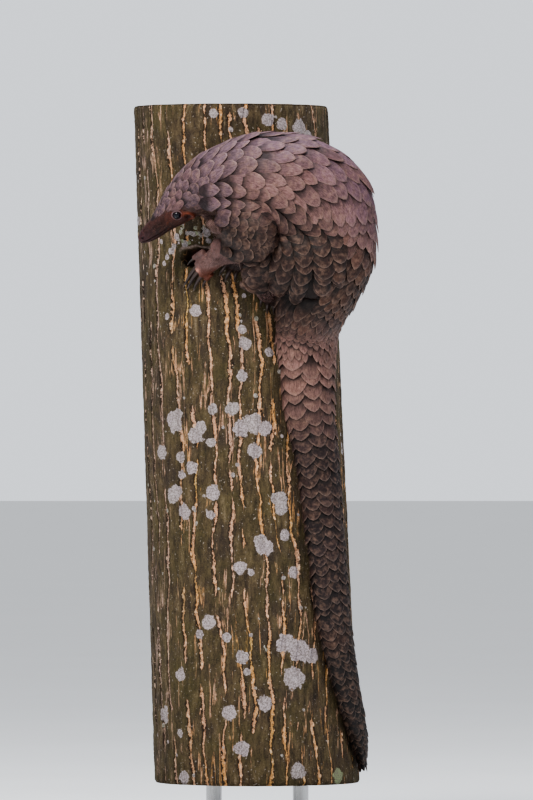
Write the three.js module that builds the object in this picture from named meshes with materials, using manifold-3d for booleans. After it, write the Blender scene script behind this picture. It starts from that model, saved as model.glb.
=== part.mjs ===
import * as THREE from 'three';
import { mergeVertices } from 'three/addons/utils/BufferGeometryUtils.js';
import Module from 'manifold-3d';

// A life-size white-bellied tree pangolin, clinging side-on to a cut length of tree trunk that stands on
// two rods and a round base. Millimetres, +Z up. Shapes are placed by three numbers: how far across and
// how far down they are in the side view, and how far out they are from the trunk's own axis, where
// minus is towards the viewer.

const wasm = await Module();
wasm.setup();

const ORIGIN = { across: 256, down: 842, out: -50 };
const GAP = 0.35;
const SLIVER = 0.05;

// the stand
const BASE_RADIUS = 160;
const BASE_HEIGHT = 16;
const ROD_RADIUS = 8;
const ROD_SPREAD = 44;

// the trunk
const TRUNK_TOP = 102;
const TRUNK_BOTTOM = 788;
const CRACKS_SEEN = [-74, -54, -40.5, -18, -1.7, 17.5, 37, 58, 80];
const CRACKS_BEHIND = 8;
const CRACK_DEPTH = 1.7;
const CRACK_WIDTH = 4.4;

// how far the scales are raised at their free edges
const SCALE_LIFT = { head: 1.9, neck: 3.0, torso: 4.2, rump: 4.0, tail: 3.0, arm: 1.9, leg: 3.4 };
const SCALES_RAISED = true;

// the soft and hard parts of the head, hands and feet
const EYE_RADIUS = 4.1;
const LID_RADIUS = 4.7;
const EAR_REACH = 7.5;
const MOUTH_LENGTH = 30;
const MOUTH_WIDTH = 0.9;

const materials = {
  scale: [0x6e5550, 0.62, 0],
  skin: [0x96593f, 0.7, 0],
  claw: [0x4a3a35, 0.42, 0],
  eye: [0x0d0d14, 0.08, 0],
  bark: [0x4b4132, 0.9, 0],
  base: [0x2b2b2d, 0.5, 0],
  rod: [0x9a9c9f, 0.35, 0.9],
};

const v = (x, y, z) => new THREE.Vector3(x, y, z);
const at = (across, down, out) => v(across - ORIGIN.across, out - ORIGIN.out, ORIGIN.down - down);
const rad = THREE.MathUtils.degToRad;
const lerp = THREE.MathUtils.lerp;
const clamp = THREE.MathUtils.clamp;

// the trunk leans and tapers a little
const trunkAcross = (down) => 226.5 + 0.0389 * down;
const trunkRadius = (down) => 97.5 + 0.0081 * down;

let seed = 42;
const chance = () => {
  seed = (seed * 16807) % 2147483647;
  return seed / 2147483647;
};
const about = (share) => 1 + share * (2 * chance() - 1);

// Solids

function solid(positions, triangles) {
  const kept = [];
  for (const t of triangles) {
    if (t[0] !== t[1] && t[1] !== t[2] && t[2] !== t[0]) kept.push(t);
  }
  let volume = 0;
  const p = positions;
  for (const [a, b, c] of kept) {
    volume += p[a].dot(v(0, 0, 0).crossVectors(p[b], p[c]));
  }
  const order = volume < 0 ? [0, 2, 1] : [0, 1, 2];
  const mesh = new wasm.Mesh({
    numProp: 3,
    vertProperties: new Float32Array(p.flatMap((q) => [q.x, q.y, q.z])),
    triVerts: new Uint32Array(kept.flatMap((t) => order.map((k) => t[k]))),
  });
  return new wasm.Manifold(mesh);
}

function fromGeometry(geometry) {
  geometry.deleteAttribute('normal');
  geometry.deleteAttribute('uv');
  const merged = mergeVertices(geometry, 1e-4);
  const position = merged.attributes.position;
  const points = [];
  for (let i = 0; i < position.count; i += 1) points.push(v(0, 0, 0).fromBufferAttribute(position, i));
  const triangles = [];
  for (let i = 0; i < merged.index.count; i += 3) {
    triangles.push([merged.index.getX(i), merged.index.getX(i + 1), merged.index.getX(i + 2)]);
  }
  return solid(points, triangles);
}

function read(manifold) {
  const mesh = manifold.getMesh();
  const points = [];
  for (let i = 0; i < mesh.vertProperties.length; i += mesh.numProp) {
    points.push(v(mesh.vertProperties[i], mesh.vertProperties[i + 1], mesh.vertProperties[i + 2]));
  }
  const triangles = [];
  for (let i = 0; i < mesh.triVerts.length; i += 3) {
    triangles.push([mesh.triVerts[i], mesh.triVerts[i + 1], mesh.triVerts[i + 2]]);
  }
  return { points, triangles };
}

// the same solid with each vertex moved out along its normal, to leave a gap round it
function grown(manifold, by = GAP) {
  const { points, triangles } = read(manifold);
  const normals = points.map(() => v(0, 0, 0));
  for (const [a, b, c] of triangles) {
    const ab = points[b].clone().sub(points[a]);
    const face = ab.cross(points[c].clone().sub(points[a]));
    for (const k of [a, b, c]) normals[k].add(face);
  }
  return solid(points.map((q, k) => q.clone().addScaledVector(normals[k].normalize(), by)), triangles);
}

// only the largest closed surface of a solid
function largest(manifold) {
  let best = null;
  for (const piece of manifold.decompose()) {
    if (best === null || piece.volume() > best.volume()) best = piece;
  }
  return best;
}

// a finished node: slivers of the cuts taken out, points closer than a few microns joined
const tidied = (manifold) => joined(manifold.simplify(SLIVER));

function joined(manifold) {
  const { points, triangles } = read(largest(manifold));
  const places = new Map();
  const kept = [];
  const renamed = points.map((p) => {
    const key = [p.x, p.y, p.z].map((c) => Math.round(c * 250)).join(' ');
    if (!places.has(key)) places.set(key, kept.push(p) - 1);
    return places.get(key);
  });
  return largest(solid(kept, triangles.map((t) => t.map((k) => renamed[k]))));
}

function ball(centre, radii, detail = 1, turn = null) {
  const geometry = new THREE.IcosahedronGeometry(1, detail);
  geometry.scale(radii[0], radii[1], radii[2]);
  if (turn) geometry.applyQuaternion(turn);
  geometry.translate(centre.x, centre.y, centre.z);
  return fromGeometry(geometry);
}

// a block that holds all that lies on one side of a plane
function beyond(point, direction, size = 420) {
  const geometry = new THREE.BoxGeometry(size, size, size);
  geometry.translate(0, 0, size / 2);
  geometry.applyQuaternion(new THREE.Quaternion().setFromUnitVectors(v(0, 0, 1), direction));
  geometry.translate(point.x, point.y, point.z);
  return fromGeometry(geometry);
}

// Tubes: a body or limb along a smooth line, through stations of
// across, down, out, radius above, radius below, radius to each side, roll in degrees, wrap.
// Above is the back of the body, or the outer face of a limb.

class Tube {
  constructor(stations, options = {}) {
    this.left = options.left ?? null;
    this.outer = options.outer ?? null;
    this.square = options.square ?? 2.15;
    this.columns = stations.map(([across, down, out, ...rest]) => {
      const p = at(across, down, out);
      return [p.x, p.y, p.z, ...rest];
    });
    this.knots = [0];
    for (let i = 1; i < stations.length; i += 1) {
      const [a, b] = [this.columns[i - 1], this.columns[i]];
      this.knots.push(this.knots[i - 1] + Math.hypot(a[0] - b[0], a[1] - b[1], a[2] - b[2]));
    }
    this.length = this.knots[this.knots.length - 1];
    this.sections = new Map();
  }

  value(s) {
    const { knots, columns } = this;
    let i = 0;
    while (i < knots.length - 2 && s > knots[i + 1]) i += 1;
    const span = knots[i + 1] - knots[i];
    const t = clamp((s - knots[i]) / span, 0, 1);
    const slope = (k, c) => {
      const a = Math.max(k - 1, 0);
      const b = Math.min(k + 1, knots.length - 1);
      return (columns[b][c] - columns[a][c]) / (knots[b] - knots[a]);
    };
    return columns[i].map((low, c) => {
      const high = columns[i + 1][c];
      const t2 = t * t;
      const t3 = t2 * t;
      return (
        (2 * t3 - 3 * t2 + 1) * low +
        (t3 - 2 * t2 + t) * span * slope(i, c) +
        (3 * t2 - 2 * t3) * high +
        (t3 - t2) * span * slope(i + 1, c)
      );
    });
  }

  frame(s) {
    const k = clamp(s, 0, this.length);
    const q = this.value(k);
    const a = this.value(Math.max(k - 0.5, 0));
    const b = this.value(Math.min(k + 0.5, this.length));
    const rear = v(b[0] - a[0], b[1] - a[1], b[2] - a[2]).normalize();
    const fore = rear.clone().negate();
    let up;
    let left;
    if (this.left) {
      left = this.left.clone().addScaledVector(rear, -this.left.dot(rear)).normalize();
      up = fore.clone().cross(left);
    } else {
      up = this.outer.clone().addScaledVector(rear, -this.outer.dot(rear)).normalize();
      left = up.clone().cross(fore);
    }
    const roll = rad(q[6] ?? 0);
    const turnedUp = up.clone().multiplyScalar(Math.cos(roll)).addScaledVector(left, Math.sin(roll));
    const turnedLeft = left.clone().multiplyScalar(Math.cos(roll)).addScaledVector(up, -Math.sin(roll));
    const centre = v(q[0], q[1], q[2]).addScaledVector(rear, s - k);
    const [above, below, side] = q.slice(3, 6);
    return { centre, rear, up: turnedUp, left: turnedLeft, above, below, side, wrap: q[7] ?? 0 };
  }

  // a section's outline, with how far along it each point is
  section(s) {
    if (this.sections.has(s)) return this.sections.get(s);
    const f = this.frame(s);
    const steps = 72;
    const flat = [];
    const power = 2 / this.square;
    for (let i = 0; i <= steps; i += 1) {
      const angle = (2 * Math.PI * i) / steps;
      const [c, d] = [Math.cos(angle), Math.sin(angle)];
      const x = Math.sign(d) * Math.abs(d) ** power * f.side;
      const high = Math.sign(c) * Math.abs(c) ** power * (c > 0 ? f.above : f.below);
      flat.push([x, high - f.wrap * x * x]);
    }
    const lengths = [0];
    for (let i = 1; i <= steps; i += 1) {
      lengths.push(lengths[i - 1] + Math.hypot(flat[i][0] - flat[i - 1][0], flat[i][1] - flat[i - 1][1]));
    }
    const found = { ...f, flat, lengths, girth: lengths[steps] };
    this.sections.set(s, found);
    return found;
  }

  // the point a share of the way round, from the middle of the back over the left side, raised by lift
  point(s, share, lift = 0) {
    const { centre, up, left, flat, lengths, girth } = this.section(s);
    const along = (share - Math.floor(share)) * girth;
    let i = 0;
    while (i < flat.length - 2 && lengths[i + 1] < along) i += 1;
    const t = (along - lengths[i]) / (lengths[i + 1] - lengths[i]);
    const step = [flat[i + 1][0] - flat[i][0], flat[i + 1][1] - flat[i][1]];
    const size = Math.hypot(step[0], step[1]);
    const x = flat[i][0] + t * step[0] - (lift * step[1]) / size;
    const y = flat[i][1] + t * step[1] + (lift * step[0]) / size;
    return centre.clone().addScaledVector(left, x).addScaledVector(up, y);
  }
}

// the lines where rows of scales begin, closer together where spacing says so
function rowsBetween(from, to, spacing) {
  const rows = [];
  let s = from;
  while (s < to) {
    rows.push(s);
    s += spacing(s);
  }
  return rows;
}

// A closed skin on a tube: smooth rings, then rows of overlapping scales, each with a rounded free edge
// raised over the scales behind it. A scale of no height is left smooth.
function scaledSkin(tube, { rings, rows, count, height, reach = 0.72, end = null, offset: out = 0 }) {
  const points = [];
  const triangles = [];
  const add = (s, share, lift) => points.push(tube.point(s, share, lift + out)) - 1;
  const join = (a, b, c) => triangles.push([a, b, c]);
  const wrapped = (k) => ((k % count) + count) % count;

  const ringPoints = rings.map((s) => {
    const found = [];
    for (let m = 0; m < 2 * count; m += 1) found.push(add(s, m / (2 * count), 0));
    return found;
  });
  for (let k = 1; k < ringPoints.length; k += 1) {
    const [a, b] = [ringPoints[k - 1], ringPoints[k]];
    for (let m = 0; m < 2 * count; m += 1) {
      const n = (m + 1) % (2 * count);
      join(a[m], b[m], b[n]);
      join(a[m], b[n], a[n]);
    }
  }
  const first = ringPoints[0];
  const front = points.push(tube.frame(rings[0]).centre) - 1;
  first.forEach((p, m) => join(p, first[(m + 1) % first.length], front));

  const last = ringPoints[ringPoints.length - 1];
  let before = { offset: 0.5, corner: [], tip: [] };
  for (let j = 0; j < count; j += 1) {
    before.corner.push(last[(2 * (j + 1)) % (2 * count)]);
    before.tip.push(last[2 * j + 1]);
  }

  const strip = (a, b, mirrored) => {
    let i = 0;
    let k = 0;
    while (i < a.length - 1 || k < b.length - 1) {
      const moveA = k === b.length - 1 || (i < a.length - 1 && i / (a.length - 1) <= k / (b.length - 1));
      const third = moveA ? a[i + 1] : b[k + 1];
      if (mirrored) join(a[i], third, b[k]);
      else join(a[i], b[k], third);
      if (moveA) i += 1;
      else k += 1;
    }
  };

  rows.forEach((s, i) => {
    const depth = (rows[i + 1] ?? 2 * s - rows[i - 1]) - s;
    const offset = i % 2 === 0 ? 0 : 0.5;
    const row = { offset, corner: [], tip: [] };
    const tops = [];
    for (let j = 0; j < count; j += 1) {
      const middle = (j + offset) / count;
      const h = height(s, middle, depth, count) * about(0.1);
      const nextH = height(s, (j + 1 + offset) / count, depth, count);
      row.corner.push(add(s, (j + offset + 0.5) / count, 0.12 * Math.min(h, nextH)));
      const free = s + depth * reach * (h > 0.3 ? about(0.07) : 1);
      if (h > 0.3) {
        const aside = 0.3 / count;
        const midS = s + 0.8 * (free - s);
        const tuck = 0.12 * depth;
        const low = add(midS, middle - aside, 0.86 * h);
        const tip = add(free, middle, h);
        tops.push([low, tip, add(midS, middle + aside, 0.86 * h)]);
        row.tip.push(add(free - tuck, middle, 0));
      } else {
        const tip = add(free, middle, 0);
        tops.push([null, tip, null]);
        row.tip.push(tip);
      }
    }
    for (let j = 0; j < count; j += 1) {
      const prior = wrapped(offset === before.offset ? j : j + offset - before.offset - 0.5);
      const top = before.corner[prior];
      const [lowTop, tipTop, highTop] = tops[j];
      const lowCorner = row.corner[wrapped(j - 1)];
      const highCorner = row.corner[j];
      const chain = (...list) => list.filter((k) => k !== null);
      strip([before.tip[prior], top], chain(lowCorner, lowTop, tipTop), false);
      const after = wrapped(prior + 1);
      strip([before.tip[after], top], chain(highCorner, highTop, tipTop), true);
      if (lowTop !== null) {
        join(lowTop, lowCorner, row.tip[j]);
        join(tipTop, lowTop, row.tip[j]);
        join(highTop, tipTop, row.tip[j]);
        join(highCorner, highTop, row.tip[j]);
      }
    }
    before = row;
  });

  const finish = rows[rows.length - 1] + (end ?? 0);
  const back = points.push(tube.frame(finish).centre) - 1;
  for (let j = 0; j < count; j += 1) {
    const chain = [before.corner[wrapped(j - 1)], before.tip[j], before.corner[j]];
    for (let k = 1; k < chain.length; k += 1) join(chain[k], chain[k - 1], back);
  }
  return solid(points, triangles);
}

// a closed smooth skin, with its ends drawn in to points a little past the first and last rings
function smoothSkin(tube, rings, count, tips = [0, 0]) {
  const points = [];
  const triangles = [];
  for (const s of rings) {
    for (let m = 0; m < count; m += 1) points.push(tube.point(s, m / count));
  }
  for (let k = 1; k < rings.length; k += 1) {
    for (let m = 0; m < count; m += 1) {
      const n = (m + 1) % count;
      const [a, b] = [(k - 1) * count, k * count];
      triangles.push([a + m, b + m, b + n], [a + m, b + n, a + n]);
    }
  }
  const front = points.push(tube.frame(rings[0] - tips[0]).centre) - 1;
  const back = points.push(tube.frame(rings[rings.length - 1] + tips[1]).centre) - 1;
  const base = (rings.length - 1) * count;
  for (let m = 0; m < count; m += 1) {
    const n = (m + 1) % count;
    triangles.push([m, n, front], [base + n, base + m, back]);
  }
  return solid(points, triangles);
}

const evenly = (from, to, count) => Array.from({ length: count }, (_, i) => lerp(from, to, i / (count - 1)));

// how far round from the middle of the back, from 0 there to 1 in the middle of the belly
const round = (share) => {
  const part = share - Math.floor(share);
  return 2 * Math.min(part, 1 - part);
};

// The trunk

// how far a crack wanders round the trunk on its way down
const wander = (turn, down) =>
  0.026 * Math.sin(3 * turn + down / 47) + 0.018 * Math.sin(5 * turn - down / 29 + 1);

function trunkSolid() {
  const heights = evenly(TRUNK_TOP, TRUNK_BOTTOM, 7);
  const first = CRACKS_SEEN[0] + 360;
  const last = CRACKS_SEEN[CRACKS_SEEN.length - 1];
  const behind = evenly(last, first, CRACKS_BEHIND + 2).slice(1, -1);
  const turns = [...CRACKS_SEEN, ...behind].map(rad);
  const points = [];
  const triangles = [];
  const around = turns.length * 4;
  heights.forEach((down) => {
    const radius = trunkRadius(down);
    const edge = CRACK_WIDTH / 2 / radius;
    const lines = turns.map((turn) => turn + wander(turn, down));
    lines.forEach((line, i) => {
      const next = i + 1 < lines.length ? lines[i + 1] : lines[0] + 2 * Math.PI;
      const across = [[line - edge, 0], [line, CRACK_DEPTH], [line + edge, 0], [(line + next) / 2, -0.3]];
      for (const [angle, sink] of across) {
        const r = radius - sink;
        points.push(at(trunkAcross(down) + r * Math.sin(angle), down, -r * Math.cos(angle)));
      }
    });
  });
  for (let k = 1; k < heights.length; k += 1) {
    for (let m = 0; m < around; m += 1) {
      const n = (m + 1) % around;
      const [a, b] = [(k - 1) * around, k * around];
      triangles.push([a + m, b + m, b + n], [a + m, b + n, a + n]);
    }
  }
  const top = points.push(at(trunkAcross(TRUNK_TOP), TRUNK_TOP, 0)) - 1;
  const bottom = points.push(at(trunkAcross(TRUNK_BOTTOM), TRUNK_BOTTOM, 0)) - 1;
  const base = (heights.length - 1) * around;
  for (let m = 0; m < around; m += 1) {
    const n = (m + 1) % around;
    triangles.push([m, n, top], [base + n, base + m, bottom]);
  }
  return solid(points, triangles);
}

// a healed knot hole, with a raised rim
function knotHole(trunk) {
  const [across, down] = [195, 255];
  const x = across - trunkAcross(down);
  const out = -Math.sqrt(trunkRadius(down) ** 2 - x * x);
  const centre = at(across, down, out);
  const facing = v(x, out, 0).normalize();
  const turn = new THREE.Quaternion().setFromUnitVectors(v(0, 0, 1), facing);
  const rim = new THREE.TorusGeometry(1, 0.16, 5, 12);
  rim.scale(18, 13, 17);
  rim.applyQuaternion(turn);
  rim.translate(centre.x - 1.4 * facing.x, centre.y - 1.4 * facing.y, centre.z);
  const hollow = ball(centre, [15, 10.5, 24], 1, turn);
  return trunk.add(fromGeometry(rim)).subtract(hollow);
}

// The body's own line, from the nose over the back to the tip of the tail

function tailStation(across, down, above, below, side) {
  const x = across - trunkAcross(down);
  const reach = trunkRadius(down) + below + 3.4;
  const out = -Math.sqrt(reach * reach - x * x);
  const roll = 90 - THREE.MathUtils.radToDeg(Math.atan2(x, -out));
  return [across, down, out, above, below, side, roll, 0.5 / reach];
}

const bodyStations = [
  [139.5, 240.5, -122, 3.0, 3.0, 3.4, 18, 0],
  [145.3, 235.7, -123, 7.2, 7.2, 6.8, 18, 0],
  [153.8, 229.0, -124, 9.5, 9.5, 9.0, 18, 0],
  [162.0, 221.5, -125.5, 11.6, 11.4, 11.6, 18, 0],
  [173.0, 210.0, -128, 15.8, 17.2, 17.0, 18, 0],
  [186.0, 196.0, -131, 19.5, 26.0, 21.5, 15, 0],
  [200.0, 185.0, -134, 23.5, 38.0, 26.0, 9, 0],
  [218.0, 179.0, -138, 30.5, 50.0, 32.5, 4, 0],
  [240.0, 180.0, -142.5, 42.5, 51.0, 39.5, 0, 0],
  [265.0, 185.0, -144.5, 50.5, 49.0, 44.0, 0, 0],
  [290.0, 195.0, -141, 59.0, 50.0, 45.5, 0, 0],
  [310.0, 213.0, -133.5, 61.5, 49.0, 46.0, 0, 0],
  [321.0, 237.0, -124.5, 53.5, 47.0, 45.0, 3, 0],
  [322.5, 262.0, -121, 47.5, 45.0, 42.5, 8, 0],
  [318.0, 286.0, -119, 39.0, 41.0, 39.0, 20, 0],
  [312.0, 308.0, -112, 31.0, 30.0, 35.5, 38, 0.001],
  tailStation(309, 330, 23, 17, 32),
  tailStation(308.5, 350, 19, 12, 31),
  tailStation(310, 405, 17, 11, 27),
  tailStation(317, 452, 15, 10, 24),
  tailStation(323, 509, 13.5, 9, 22),
  tailStation(328.5, 560, 12.5, 8.5, 21),
  tailStation(334, 619, 12, 8, 20),
  tailStation(341, 660, 11, 7.3, 17.5),
  tailStation(347.5, 692, 10, 6.8, 15.5),
  tailStation(355, 724, 8.6, 6, 13),
  tailStation(361, 750, 6.6, 5, 9.6),
  tailStation(363, 767, 3.4, 3, 4.6),
];
const body = new Tube(bodyStations, { left: v(0, -1, 0), square: 2.15 });
const S = body.knots;
const STATION = { eye: S[4], nape: S[6], neckEnd: S[8], rump: S[12], root: S[15], tail: S[17], tip: S[27] };

// Limbs

const toViewer = v(0, -1, 0);
const limbs = {
  arm_left: new Tube(
    [
      [234, 202, -163, 13, 14, 21, 0, 0],
      [242, 219, -172, 15, 14, 25, 0, 0],
      [254, 235, -176, 15.5, 14, 22, 0, 0],
      [258, 246, -170, 15.5, 14, 17, 0, 0],
      [245, 248, -155, 14, 13, 16, 0, 0],
      [231, 249, -138, 12, 11, 14, 0, 0],
      [221, 252, -128, 10, 9.5, 12.5, 0, 0],
    ],
    { outer: v(-0.4, -1, 0.1) },
  ),
  arm_right: new Tube(
    [
      [240, 212, -125, 10, 10, 12, 0, 0],
      [255, 226, -117, 10, 10, 12, 0, 0],
      [259, 238, -113, 10, 9, 11.5, 0, 0],
      [253, 247, -111, 9.5, 8.5, 11, 0, 0],
      [246, 253, -110, 8.5, 8, 10, 0, 0],
    ],
    { outer: v(0.3, -1, 0.2) },
  ),
  thigh_left: new Tube(
    [
      [313, 222, -150, 12, 12, 24, 0, 0],
      [311, 238, -157, 17, 16, 36, 0, 0],
      [308, 256, -161, 19, 18, 38, 0, 0],
      [304, 274, -159, 18, 17, 35, 0, 0],
      [301, 290, -153, 14, 15, 29, 0, 0],
    ],
    { outer: toViewer },
  ),
  shank_left: new Tube(
    [
      [285, 246, -146, 12, 12, 15, 0, 0],
      [273, 256, -152, 15, 15, 17, 0, 0],
      [263, 267, -148, 15, 15, 16.5, 0, 0],
      [260, 280, -137, 13, 13, 14.5, 0, 0],
    ],
    { outer: toViewer },
  ),
  thigh_right: new Tube(
    [
      [335, 245, -88, 12, 14, 20, 0, 0],
      [344, 260, -80, 14, 14, 22, 0, 0],
      [349, 276, -74, 13, 13, 20, 0, 0],
      [349, 288, -68, 11, 11, 17, 0, 0],
    ],
    { outer: v(0.8, 0.6, 0) },
  ),
};

// whether a point lies inside a limb or just off it
function inLimb(p) {
  return Object.values(limbs).some((tube) =>
    evenly(-0.04, 1.1, 14).some((part) => {
      const f = tube.frame(part * tube.length);
      const d = p.clone().sub(f.centre);
      const high = d.dot(f.up);
      const out = Math.hypot(d.dot(f.left) / (f.side + 1), high / ((high > 0 ? f.above : f.below) + 1));
      return Math.abs(d.dot(f.rear)) < tube.length / 20 && out < 1.1;
    }),
  );
}

// whether a scale of the body would lie under a limb or run into it
function underLimb(s, share, depth, count) {
  const places = [[0, 0], [0.75, 0], [0.5, 0.32], [0.5, -0.32]];
  return places.some(([back, aside]) => inLimb(body.point(s + back * depth, share + aside / count, 2)));
}

// 1 where the body carries a scale, 0 on the bare belly and under the limbs
const scaledTo = (cover, s, share, depth, count) =>
  round(share) < cover && !underLimb(s, share, depth, count) ? 1 : 0;

// the lengths of the body, each a closed skin that runs a little past the planes that part it
const raised = SCALES_RAISED ? 1 : 0;

function headSkin() {
  const start = STATION.eye - 13;
  return scaledSkin(body, {
    rings: [0.5, 3, 7, 12.5, 19, start],
    rows: rowsBetween(start + 5, STATION.nape + 12, (s) => lerp(6.8, 10, clamp((s - start) / 50, 0, 1))),
    count: 12,
    height: (s, share) => {
      const past = s - STATION.eye;
      const fore = lerp(0.14, 0.4, clamp((past + 12) / 14, 0, 1));
      const cover = past < 5.5 ? fore : lerp(0.4, 0.78, clamp((past - 5.5) / 12, 0, 1));
      const lift = lerp(1.2, SCALE_LIFT.head, clamp((past + 12) / 24, 0, 1));
      return raised * lift * (round(share) < cover ? 1 : 0);
    },
  });
}

function neckSkin(raised = SCALES_RAISED ? 1 : 0, offset = 0) {
  return scaledSkin(body, {
    rings: [STATION.nape - 12, STATION.nape - 6],
    rows: rowsBetween(STATION.nape - 1, STATION.neckEnd + 16, () => 11.5),
    count: 14,
    height: (...place) => raised * SCALE_LIFT.neck * scaledTo(0.74, ...place),
    offset,
  });
}

function torsoSkin(raised = SCALES_RAISED ? 1 : 0, offset = 0) {
  return scaledSkin(body, {
    rings: [STATION.neckEnd - 18, STATION.neckEnd - 9],
    rows: rowsBetween(STATION.neckEnd - 2, STATION.rump + 14, () => 10),
    count: 14,
    height: (...place) => raised * SCALE_LIFT.torso * scaledTo(0.6, ...place),
    offset,
  });
}

function rumpSkin(raised = SCALES_RAISED ? 1 : 0, offset = 0) {
  return scaledSkin(body, {
    rings: [STATION.rump - 18, STATION.rump - 9],
    rows: rowsBetween(STATION.rump - 2, STATION.tail + 6, () => 10.5),
    count: 12,
    height: (...place) => raised * SCALE_LIFT.rump * scaledTo(0.68, ...place),
    offset,
  });
}

function tailSkin() {
  const start = STATION.root + 10;
  const taper = (s) => clamp((STATION.tip - s) / (STATION.tip - start), 0, 1);
  return scaledSkin(body, {
    rings: [start - 10, start],
    rows: rowsBetween(start + 4, STATION.tip - 5, (s) => lerp(9.3, 14, taper(s))),
    count: 6,
    height: (s, share) => (round(share) < 0.75 ? raised * lerp(1.1, SCALE_LIFT.tail, taper(s)) : 0),
    end: 9,
  });
}

// cut a length out of a skin, between planes across the body's line
function length(skin, from, to) {
  let kept = skin;
  if (from !== null) {
    const a = body.frame(from + GAP / 2);
    kept = kept.subtract(beyond(a.centre, a.rear.clone().negate()));
  }
  if (to !== null) {
    const b = body.frame(to - GAP / 2);
    kept = kept.subtract(beyond(b.centre, b.rear));
  }
  return tidied(kept);
}

// Hands and feet: a palm, fingers on the bark, and a claw on each

function onBark(across, down, lift) {
  const x = across - trunkAcross(down);
  const reach = trunkRadius(down) + lift;
  return [across, down, -Math.sqrt(Math.max(reach * reach - x * x, 1))];
}

const feet = {
  hand_left: {
    palm: [
      [222, 253, -128, 8.5, 8.5, 11, 0, 0],
      [212, 260, -116, 8, 8, 12.5, 0, 0],
      [204, 267, -106, 7, 7, 11.5, 0, 0],
    ],
    outer: v(-0.5, -1, 0.4),
    fingers: [
      { from: [207, 256, -111], to: [197, 264, -103], claw: [183, 286], girth: 4.3, size: 3.0 },
      { from: [206, 262, -108], to: [198, 269, -102], claw: [187, 288], girth: 4.6, size: 3.1 },
      { from: [207, 268, -106], to: [201, 274, -101], claw: [193, 290], girth: 4.2, size: 2.7 },
      { from: [210, 273, -106], to: [206, 278, -101], claw: [202, 287], girth: 3.4, size: 1.8 },
      { from: [203, 252, -113], to: [194, 257, -104], claw: [187, 264], girth: 3.2, size: 1.7 },
    ],
  },
  hand_right: {
    palm: [
      [247, 252, -110.5, 7, 7, 9.5, 0, 0],
      [241, 258, -108, 7, 6.5, 11, 0, 0],
      [237, 263, -106.5, 6, 6, 10, 0, 0],
    ],
    outer: v(0, -1, 0.2),
    fingers: [
      { from: [232, 259, -106], to: [226, 263, -104], claw: [219, 275], girth: 3.9, size: 2.7 },
      { from: [235, 262, -106], to: [230, 268, -104], claw: [225, 281], girth: 4.2, size: 2.9 },
      { from: [240, 264, -106], to: [237, 270, -104], claw: [234, 281], girth: 3.9, size: 2.6 },
    ],
  },
  foot_left: {
    palm: [
      [262, 275, -139, 8, 8, 9, 0, 0],
      [265, 288, -123, 8, 8, 11.5, 0, 0],
      [270, 296, -109, 7, 7, 11, 0, 0],
    ],
    outer: v(-0.4, -1, 0),
    fingers: [
      { from: [263, 293, -112], to: [262, 298, -104], claw: [260, 307], girth: 3.9, size: 2.3 },
      { from: [268, 297, -109], to: [268, 303, -102], claw: [267, 313], girth: 4.2, size: 2.5 },
      { from: [273, 298, -107], to: [274, 304, -100], claw: [274, 314], girth: 4.0, size: 2.4 },
      { from: [277, 295, -106], to: [280, 300, -98], claw: [281, 308], girth: 3.4, size: 2.0 },
    ],
  },
  foot_right: {
    palm: [
      [349, 287, -66, 9, 9, 11.5, 0, 0],
      [350, 297, -58, 8.5, 8.5, 12, 0, 0],
      [348, 306, -50, 7, 7, 11.5, 0, 0],
    ],
    outer: v(1, -0.3, 0),
    fingers: [
      { from: [349, 303, -57], to: [346, 310, -56], claw: [344, 320], girth: 4.0, size: 2.3 },
      { from: [348, 306, -49], to: [346, 313, -46], claw: [345, 324], girth: 4.2, size: 2.4 },
      { from: [348, 305, -42], to: [346, 311, -37], claw: [345, 321], girth: 4.0, size: 2.3 },
    ],
  },
};

function finger({ from, to, girth }) {
  const tube = new Tube(
    [
      [...from, girth * 1.1, girth * 1.1, girth * 1.1, 0, 0],
      [...from.map((c, k) => (c + to[k]) / 2), girth * 1.05, girth * 1.05, girth * 1.05, 0, 0],
      [...to, girth * 0.8, girth * 0.8, girth * 0.8, 0, 0],
    ],
    { outer: v(-0.2, -1, 0.3) },
  );
  return smoothSkin(tube, [0, tube.length / 2, tube.length], 6, [0, 1.4]);
}

// a curved claw that tapers to its tip, with its root sunk in the finger
function claw({ from, to, claw: tip, size }) {
  const root = from.map((c, k) => lerp(c, to[k], 0.75));
  const end = onBark(tip[0], tip[1], 1.3);
  const middle = to.map((c, k) => lerp(c, end[k], 0.45));
  const raisedOut = onBark(middle[0], middle[1], size + 3.2);
  const tube = new Tube(
    [
      [...root, size, size, size * 0.8, 0, 0],
      [middle[0], middle[1], Math.min(raisedOut[2], middle[2]), size * 0.85, size * 0.85, size * 0.66, 0, 0],
      [...end, 0.7, 0.7, 0.6, 0, 0],
    ],
    { outer: v(-0.2, -1, 0.4) },
  );
  return smoothSkin(tube, evenly(0, tube.length, 4), 6, [0, 0.6]);
}

// The face

function eyeCentre(side) {
  const f = body.frame(STATION.eye + 1.5);
  const angle = rad(95);
  const p = f.centre.clone().addScaledVector(f.up, Math.cos(angle) * (f.above - 1.5));
  return p.addScaledVector(f.left, side * Math.sin(angle) * (f.side - 1.7));
}

function lidRing(side) {
  const f = body.frame(STATION.eye + 1.5);
  const centre = eyeCentre(side);
  const facing = f.left.clone().multiplyScalar(side).addScaledVector(f.rear, -0.25).normalize();
  const ring = new THREE.TorusGeometry(LID_RADIUS, 1.25, 5, 12);
  ring.scale(1, 0.92, 1);
  ring.applyQuaternion(new THREE.Quaternion().setFromUnitVectors(v(0, 0, 1), facing));
  const c = centre.clone().addScaledVector(facing, 0.9);
  ring.translate(c.x, c.y, c.z);
  return fromGeometry(ring);
}

function nostril(side) {
  const f = body.frame(4.2);
  const p = f.centre.clone().addScaledVector(f.left, side * 4.6).addScaledVector(f.up, 1.8);
  return ball(p, [1.7, 1.6, 1.3], 0);
}

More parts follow.
